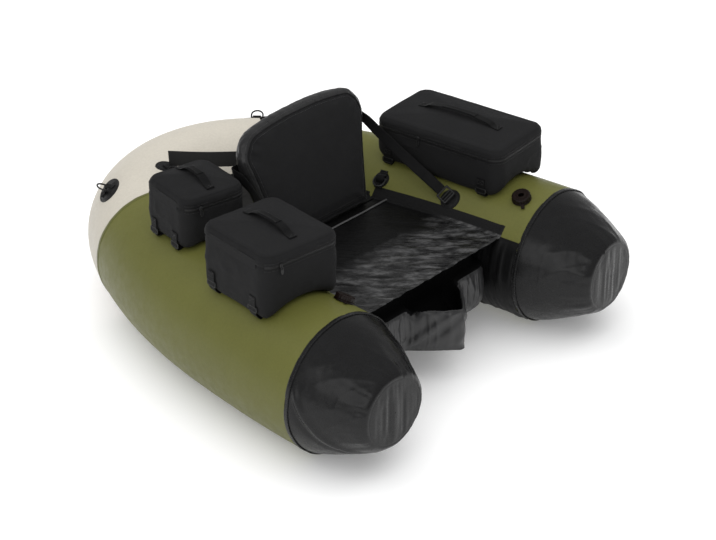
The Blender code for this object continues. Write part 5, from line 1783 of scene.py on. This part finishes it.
def gear_bag(name, cx, cy, turn, across, along, height, low_z):
    body_name, lid_name = "float_tube", name + "_lid"
    place = Matrix.Translation((cx, cy, 0)) @ Matrix.Rotation(math.radians(turn), 4, "Z")
    rot = np.array(place)[:2, :2]
    shift = np.array([cx, cy])
    outer_side = 1 if cx > 0 else -1
    top, a, b, r = low_z + height, across / 2, along / 2, 0.036
    split = top - LID_H
    seed = int(abs(cx) * 1000) % 97

    def world(plan, z):
        p = plan @ rot.T + shift
        return np.column_stack([p, np.broadcast_to(z, (len(p),))])

    def soft(plan, z):
        """How far the wall stands out at this place."""
        p = np.column_stack([plan, np.broadcast_to(z, (len(plan),))])
        q = 0.0026 * fbm(p, 9.0, 3, seed) + 0.0011 * fbm(p, 34.0, 3, seed + 3)
        q = q + 0.0016 * (crease(p, (13.0, 13.0, 24.0), seed + 5, 4.0) - 0.2)
        return q

    def ring(inset, z, relief=1.0, k=1.0):
        plan = bag_plan(a, b, r, inset)
        d = plan / np.linalg.norm(plan, axis=1)[:, None]
        plan = plan * k
        return world(plan + d * (soft(plan, z) * relief)[:, None], z)

    def floor_of(plan, lift):
        p = plan @ rot.T + shift
        skin = tube_top(p[:, 0], p[:, 1], lift)
        # a soft maximum of the saddle and the hanging sides
        diff = skin - (low_z + lift - BAG_GAP)
        return low_z + lift - BAG_GAP + np.where(diff > -0.02, 0.5 * (diff + np.sqrt(diff ** 2 + 0.003 ** 2)), 0.0)

    wall = BAG_WALL
    rows = []
    # inside: floor, then wall up to the rim
    for k in np.linspace(1e-4, 1.0, 16):
        plan = bag_plan(a, b, r, 0.012 + wall) * k
        rows.append(world(plan, floor_of(plan, BAG_GAP + wall)))
    plan0 = bag_plan(a, b, r, 0.0)
    floor_edge = floor_of(bag_plan(a, b, r, 0.004), BAG_GAP)

    def wall_row(t, inset, relief):
        """t runs from 0 at the rim to 1 at the lower edge."""
        round_ = 0.027
        z_low = floor_edge
        z = (split - 0.0004) * (1 - t) + z_low * t
        fall = np.clip((round_ - (z - z_low)) / round_, 0, 1)
        bulge = -0.0042 * math.sin(math.pi * min(t * 0.95, 1.0)) + 0.0012 * (1 - step(t, 0.0, 0.06))
        ins = inset + bulge + round_ * 0.8 * (1 - np.sqrt(np.maximum(1 - fall ** 2, 0.0)))
        base = bag_plan(a, b, r, 0.0)
        d_in = bag_plan(a, b, r, 0.01) - base
        d_in /= np.maximum(np.linalg.norm(d_in, axis=1), 1e-9)[:, None]
        plan = base + d_in * np.broadcast_to(ins, (len(base),))[:, None]
        quiet = step(t, 0.0, 0.10) * relief
        out = -d_in * (soft(base, z) * quiet)[:, None]
        return world(plan + out, z)

    for t in np.linspace(0.97, 0.0, 12):
        rows.append(wall_row(t, wall, 0.9))
    for t in np.concatenate([[0.0, 0.012], np.linspace(0.03, 0.80, 22), np.linspace(0.83, 1.0, 12)]):
        rows.append(wall_row(t, 0.0, 1.0))
    for k in np.linspace(0.985, 1e-4, 20):
        plan = bag_plan(a, b, r, 0.016) * k
        rows.append(world(plan, floor_of(plan, BAG_GAP)))
    rows = np.array(rows)
    body = Shell()
    uv = metric(rows, close_cols=True)
    body.grid(rows, uv=uv, close_cols=True)
    obj = body.build(name + "_shell", [BAG_CLOTH, LINING], sharp=65)
    inner_rows = 16 + 12
    mids = np.array([p.center[:] for p in obj.data.polygons])
    local = (mids[:, :2] - shift) @ rot
    inner_half = np.maximum(np.abs(local[:, 0]) / (a - wall * 0.55 + 0.0035),
                            np.abs(local[:, 1]) / (b - wall * 0.55 + 0.0035))
    normals = np.array([p.normal[:] for p in obj.data.polygons])
    inward = np.sum(normals[:, :2] * (mids[:, :2] - shift), 1) < -0.002
    up_floor = normals[:, 2] > 0.5
    obj.data.polygons.foreach_set("material_index",
                                  ((inward | up_floor) & (inner_half < 1.0)).astype(np.int32))
    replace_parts(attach(obj, body_name), name + "_body")

    # lid: crowned top, soft shoulder, short skirt
    rows = []
    shoulder = 0.0195

    def lid_row(inset, z, k=1.0, relief=1.0, crown=0.0):
        base = bag_plan(a, b, r, 0.0)
        d_in = bag_plan(a, b, r, 0.01) - base
        d_in /= np.maximum(np.linalg.norm(d_in, axis=1), 1e-9)[:, None]
        plan = (base + d_in * inset) * k
        out = -d_in * (soft(base, z) * relief)[:, None]
        dome = crown * fbm(np.column_stack([plan, np.full(len(plan), z)]), 10.0, 3, seed + 9)
        return world(plan + out, z + dome)

    def crown_z(k):
        return top - 0.0050 + 0.0115 * (1 - k * k) ** 1.15

    for k in np.linspace(1e-4, 1.0, 30):
        rows.append(lid_row(shoulder, crown_z(k), k, 0.3 * k, 0.0017))
    for deg in np.linspace(12, 90, 12):
        t = math.radians(deg)
        rows.append(lid_row(shoulder * (1 - math.sin(t)) - 0.0012 * math.sin(t),
                            top - 0.0050 - shoulder * 0.92 * (1 - math.cos(t)),
                            1.0, 0.3 + 0.5 * deg / 90, 0.0017 * math.cos(t)))
    for t in np.linspace(0.15, 1.0, 9):
        z = (top - 0.0050 - shoulder * 0.92) * (1 - t) + (split + 0.0004) * t
        rows.append(lid_row(-0.0012 - 0.0010 * math.sin(math.pi * t) + 0.0024 * step(t, 0.8, 1.0) * 0,
                            z, 1.0, 0.8 * (1 - step(t, 0.4, 1.0))))
    for t in (0.0, 0.25, 0.5, 0.75, 1.0):
        rows.append(lid_row(wall - 0.0012, split + 0.0004 + t * (LID_H - 0.0035 - shoulder), 1.0, 0.3))
    for deg in (80, 60, 40, 20):
        t = math.radians(deg)
        rows.append(lid_row(wall + shoulder * (1 - math.sin(t)) * 0.9, top - 0.0035 - wall
                            - shoulder * 0.80 * (1 - math.cos(t)), 1.0, 0.25))
    for k in np.linspace(0.98, 1e-4, 16):
        rows.append(lid_row(shoulder + wall, crown_z(k) - wall, k, 0.2 * k, 0.0012))
    lid = Shell().grid(np.array(rows), close_cols=True).build(name + "_cover", [BAG_CLOTH, LINING],
                                                              sharp=65)
    mids = np.array([p.center[:] for p in lid.data.polygons])
    normals = np.array([p.normal[:] for p in lid.data.polygons])
    middle = np.array([cx, cy, split])
    inward = np.sum(normals * (mids - middle), 1) < -0.001
    lid.data.polygons.foreach_set("material_index", inward.astype(np.int32))
    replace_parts(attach(lid, lid_name), name + "_lid")

    # seam where the lid's top panel meets its skirt
    seam = lid_row(shoulder * 0.42, top - 0.0050 - shoulder * 0.14, 1.0, 0.5, 0.0012)
    line, norms = on_surface(lid, seam, 0.0002)
    trim = Shell()
    closed = np.concatenate([line[-1:], line, line[:1]])
    section = strap_section(0.0044, 0.0007)
    grid = sweep(closed, np.cross(np.gradient(closed, axis=0),
                                  np.concatenate([norms[-1:], norms, norms[:1]])), section)[1:-1]
    trim.grid(grid, close_rows=True, close_cols=True)
    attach(trim.build(name + "_seam_tape", BAG_CLOTH, sharp=60), lid_name)

    # zip tapes and coils on the three sides that open
    fine = bag_plan(a, b, r, -0.0014)
    ang = fine[:, 0] * outer_side
    opens = ang < a - 0.0045
    start = int(np.nonzero(~opens)[0].mean()) if (~opens).any() else 0
    order = (np.arange(AROUND) + start) % AROUND
    seq = [i for i in order if opens[i]]
    # the run of points that stays on the opening sides, in order round the bag
    breaks = [k for k in range(1, len(seq)) if (seq[k] - seq[k - 1]) % AROUND != 1]
    if breaks:
        k = breaks[0]
        seq = seq[k:] + seq[:k]
    run = fine[seq]
    for tag, body_, sgn in (("body", body_name, -1), ("lid", lid_name, 1)):
        zipper = Shell()
        line = world(run, split + sgn * 0.0068)
        grid = sweep(line, (0, 0, 1.0), strap_section(0.0105, 0.0008))
        capped(zipper, grid)
        count = 900
        far = np.concatenate([[0], np.cumsum(np.linalg.norm(np.diff(run, axis=0), axis=1))])
        where = np.linspace(0.002, far[-1] - 0.002, count)
        dense = np.stack([np.interp(where, far, run[:, k]) for k in (0, 1)], -1)
        dense = world(dense, split + sgn * 0.00135)
        coil = np.stack([circle(0.00085 + 0.00035 * (k % 2), 6) for k in range(count)])
        capped(zipper, sweep(dense, (0, 0, 1.0), coil), mat=1)
        row = world(run, split + sgn * 0.0100)
        out = np.column_stack([(run / np.linalg.norm(run, axis=1)[:, None]) @ rot.T,
                               np.zeros(len(run))])
        stitches(zipper, row + out * 0.0006, out, mat=2)
        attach(zipper.build(f"{name}_zip_{tag}", [PIPING, ZIP_TEETH, THREAD], sharp=60), body_)

    # cloth hinge on the outer side
    y_h = np.linspace(-(b - r - 0.004), b - r - 0.004, 40)
    zs = np.linspace(-0.014, 0.014, 15)
    top_g, low_g = [], []
    for dz in zs:
        plan = np.column_stack([np.full_like(y_h, outer_side * (a + 0.0016)), y_h])
        top_g.append(world(plan, split + dz))
        plan = np.column_stack([np.full_like(y_h, outer_side * (a + 0.0004)), y_h])
        low_g.append(world(plan, split + dz))
    hinge_piece = Shell()
    sheet_shell(hinge_piece, np.array(top_g), np.array(low_g))
    obj = hinge_piece.build(name + "_cloth_hinge", BAG_CLOTH, sharp=60)
    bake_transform(obj)

    # carry handle
    reach = along * 0.27
    pts = []
    for y, z in ((-reach - 0.022, 0.0016), (-reach - 0.010, 0.0017), (-reach + 0.001, 0.0030),
                 (-reach + 0.016, 0.0105), (-reach * 0.45, 0.0148), (0.0, 0.0152),
                 (reach * 0.45, 0.0148), (reach - 0.016, 0.0105), (reach - 0.001, 0.0030),
                 (reach + 0.010, 0.0017), (reach + 0.022, 0.0016)):
        p = place @ Vector((0, y, 0))
        crown = crown_z(min(abs(y) / (b - shoulder), 1.0)) - top
        pts.append((p.x, p.y, top + crown + z * 0.9 + 0.0006))
    line = smooth_loop(pts, 110, closed=False)
    side = np.array(place.to_3x3() @ Vector((1, 0, 0)))
    run_ = np.array(place.to_3x3() @ Vector((0, 1, 0)))
    grip = Shell()
    capped(grip, sweep(line, side, strap_section(0.0245, 0.0023)))
    # the middle is folded over and sewn into a grip
    core = [k for k in range(len(line)) if abs(((line[k, :2] - shift) @ rot)[1]) < reach * 0.50]
    grip_line = line[core] + np.array([0, 0, 0.0012])
    wide = np.stack([strap_section(0.0225 - 0.004 * math.sin(math.pi * i / (len(core) - 1)),
                                   0.0034) for i in range(len(core))])
    capped(grip, sweep(grip_line, side, wide))
    stitches(grip, grip_line + side * 0.0075 + np.array([0, 0, 0.0018]), (0, 0, 1.0), mat=1)
    stitches(grip, grip_line - side * 0.0075 + np.array([0, 0, 0.0018]), (0, 0, 1.0), mat=1)
    for end in (-1, 1):
        centre = place @ Vector((0, end * (reach + 0.0125), 0))
        crown = crown_z((reach + 0.0125) / (b - shoulder))
        box_stitch(grip, (centre.x, centre.y, crown + 0.0034), run_, side, (0, 0, 1.0), 0.014, 0.018)
    obj = grip.build(name + "_grip", [STRAP, THREAD], sharp=60)
    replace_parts(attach(obj, lid_name), name + "_handle")

    # zip slider: body, bridge and pull tab
    if cx > 0:
        here, outward, run3 = Vector((-a - 0.0032, 0.055, 0)), Vector((-1, 0, 0)), Vector((0, 1, 0))
    else:
        here, outward, run3 = Vector((-a + 0.045, -b - 0.0032, 0)), Vector((0, -1, 0)), Vector((1, 0, 0))
    origin = place @ here
    origin.z = split
    origin = np.array(origin)
    rot3 = place.to_3x3()
    out_w, run_w, up_w = np.array(rot3 @ outward), np.array(rot3 @ run3), np.array([0, 0, 1.0])
    slider = Shell()
    rows = []
    for q, half, front, back in ((-0.0055, 0.0030, 0.0016, -0.0016), (-0.0050, 0.0036, 0.0026, -0.0021),
                                 (-0.0020, 0.0043, 0.0031, -0.0022), (0.0015, 0.0045, 0.0032, -0.0022),
                                 (0.0045, 0.0040, 0.0029, -0.0022), (0.0055, 0.0034, 0.0018, -0.0016)):
        mid, deep = (front + back) / 2, (front - back) / 2
        t = np.arange(20) * 2 * math.pi / 20
        cu = np.sign(np.cos(t)) * np.abs(np.cos(t)) ** 0.45 * half
        su = np.sign(np.sin(t)) * np.abs(np.sin(t)) ** 0.45 * deep + mid
        rows.append(origin + up_w * q + run_w * cu[:, None] + out_w * su[:, None])
    capped(slider, np.array(rows))
    bridge = smooth_loop([origin + out_w * o + up_w * u for o, u in
                          ((0.0028, 0.0038), (0.0042, 0.0026), (0.0047, 0.0), (0.0042, -0.0026),
                           (0.0028, -0.0038))], 16, closed=False)
    capped(slider, sweep(bridge, run_w, strap_section(0.0030, 0.0010)))
    tab = []
    for t in np.arange(28) * 2 * math.pi / 28:
        u = -0.0118 + 0.0105 * math.sin(t)
        wide_ = (0.0030 if u > -0.012 else 0.0038) * math.cos(t)
        tab.append(origin + out_w * (0.0040 + 0.0016 * (-u / 0.022)) + up_w * u + run_w * wide_)
    tab = smooth_loop(tab, 56)
    closed = np.concatenate([tab[-1:], tab, tab[:1]])
    slider.grid(sweep(closed, out_w, circle(0.0009, 8))[1:-1], close_rows=True, close_cols=True)
    plate = []
    for u in np.linspace(-0.0215, -0.0105, 8):
        half = 0.0036 * math.sqrt(max(1 - ((u + 0.0118) / 0.0105) ** 2, 0.02))
        o = 0.0040 + 0.0016 * (-u / 0.022)
        plate.append([origin + out_w * (o + d) + up_w * u + run_w * w_ for w_, d in
                      ((-half, 0.0005), (0, 0.00055), (half, 0.0005), (half, -0.0005),
                       (0, -0.00055), (-half, -0.0005))])
    capped(slider, np.array(plate))
    obj = slider.build(name + "_slider", PLASTIC, sharp=45)
    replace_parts(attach(obj, name + "_zip_slider"), name + "_zip_slider")

    # the two straps that hold the bag down
    for tag, k in (("front", -1), ("rear", 1)):
        y_local = k * (along / 2 - 0.050)
        wall_x = a + 0.0052
        path = []
        knots = [(-wall_x - 0.0012, 0.064), (-wall_x - 0.0016, 0.040), (-wall_x, 0.016)]
        knots += [(x, None) for x in np.linspace(-(a - 0.010), a - 0.010, 22)]
        knots += [(wall_x, 0.016), (wall_x + 0.0016, 0.040), (wall_x + 0.0012, 0.064)]
        for x, z in knots:
            p = place @ Vector((x, y_local, 0))
            skin = float(tube_top(p.x, p.y, 0.0024))
            zz = low_z + z if z is not None else max(skin, low_z - 0.0042)
            if z is not None:
                zz = max(zz, skin + 0.004)
            path.append((p.x, p.y, zz))
        line = smooth_loop(path, 150, closed=False)
        strap = Shell()
        capped(strap, sweep(line, run_, strap_section(0.025, 0.0017)))
        for x_side in (-1, 1):
            centre = place @ Vector((x_side * (wall_x + 0.0025), y_local, 0))
            box_stitch(strap, (centre.x, centre.y, low_z + 0.054), (0, 0, 1.0), run_,
                       side * x_side, 0.012, 0.018)
            # keeper slide low on the wall
            mid = place @ Vector((x_side * (wall_x + 0.0012), y_local, 0))
            loop = []
            for u, v in ((-0.0155, -0.0065), (0.0155, -0.0065), (0.0155, 0.0065), (-0.0155, 0.0065)):
                loop.append(np.array([mid.x, mid.y, low_z + 0.028]) + run_ * u + up_w * v)
            ring_ = smooth_loop([p for q, w_ in zip(loop, loop[1:] + loop[:1])
                                 for p in (q * 0.9 + w_ * 0.1, q * 0.1 + w_ * 0.9)], 48)
            closed = np.concatenate([ring_[-1:], ring_, ring_[:1]])
            strap.grid(sweep(closed, side, [(q, p) for p, q in strap_section(0.0034, 0.0042)])[1:-1],
                       close_rows=True, close_cols=True, mat=2)
        obj = strap.build(f"{name}_{tag}_web", [STRAP, THREAD, PLASTIC], sharp=60)
        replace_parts(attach(obj, body_name), f"{name}_{tag}_strap")


for spec in BAGS:
    gear_bag(*spec)
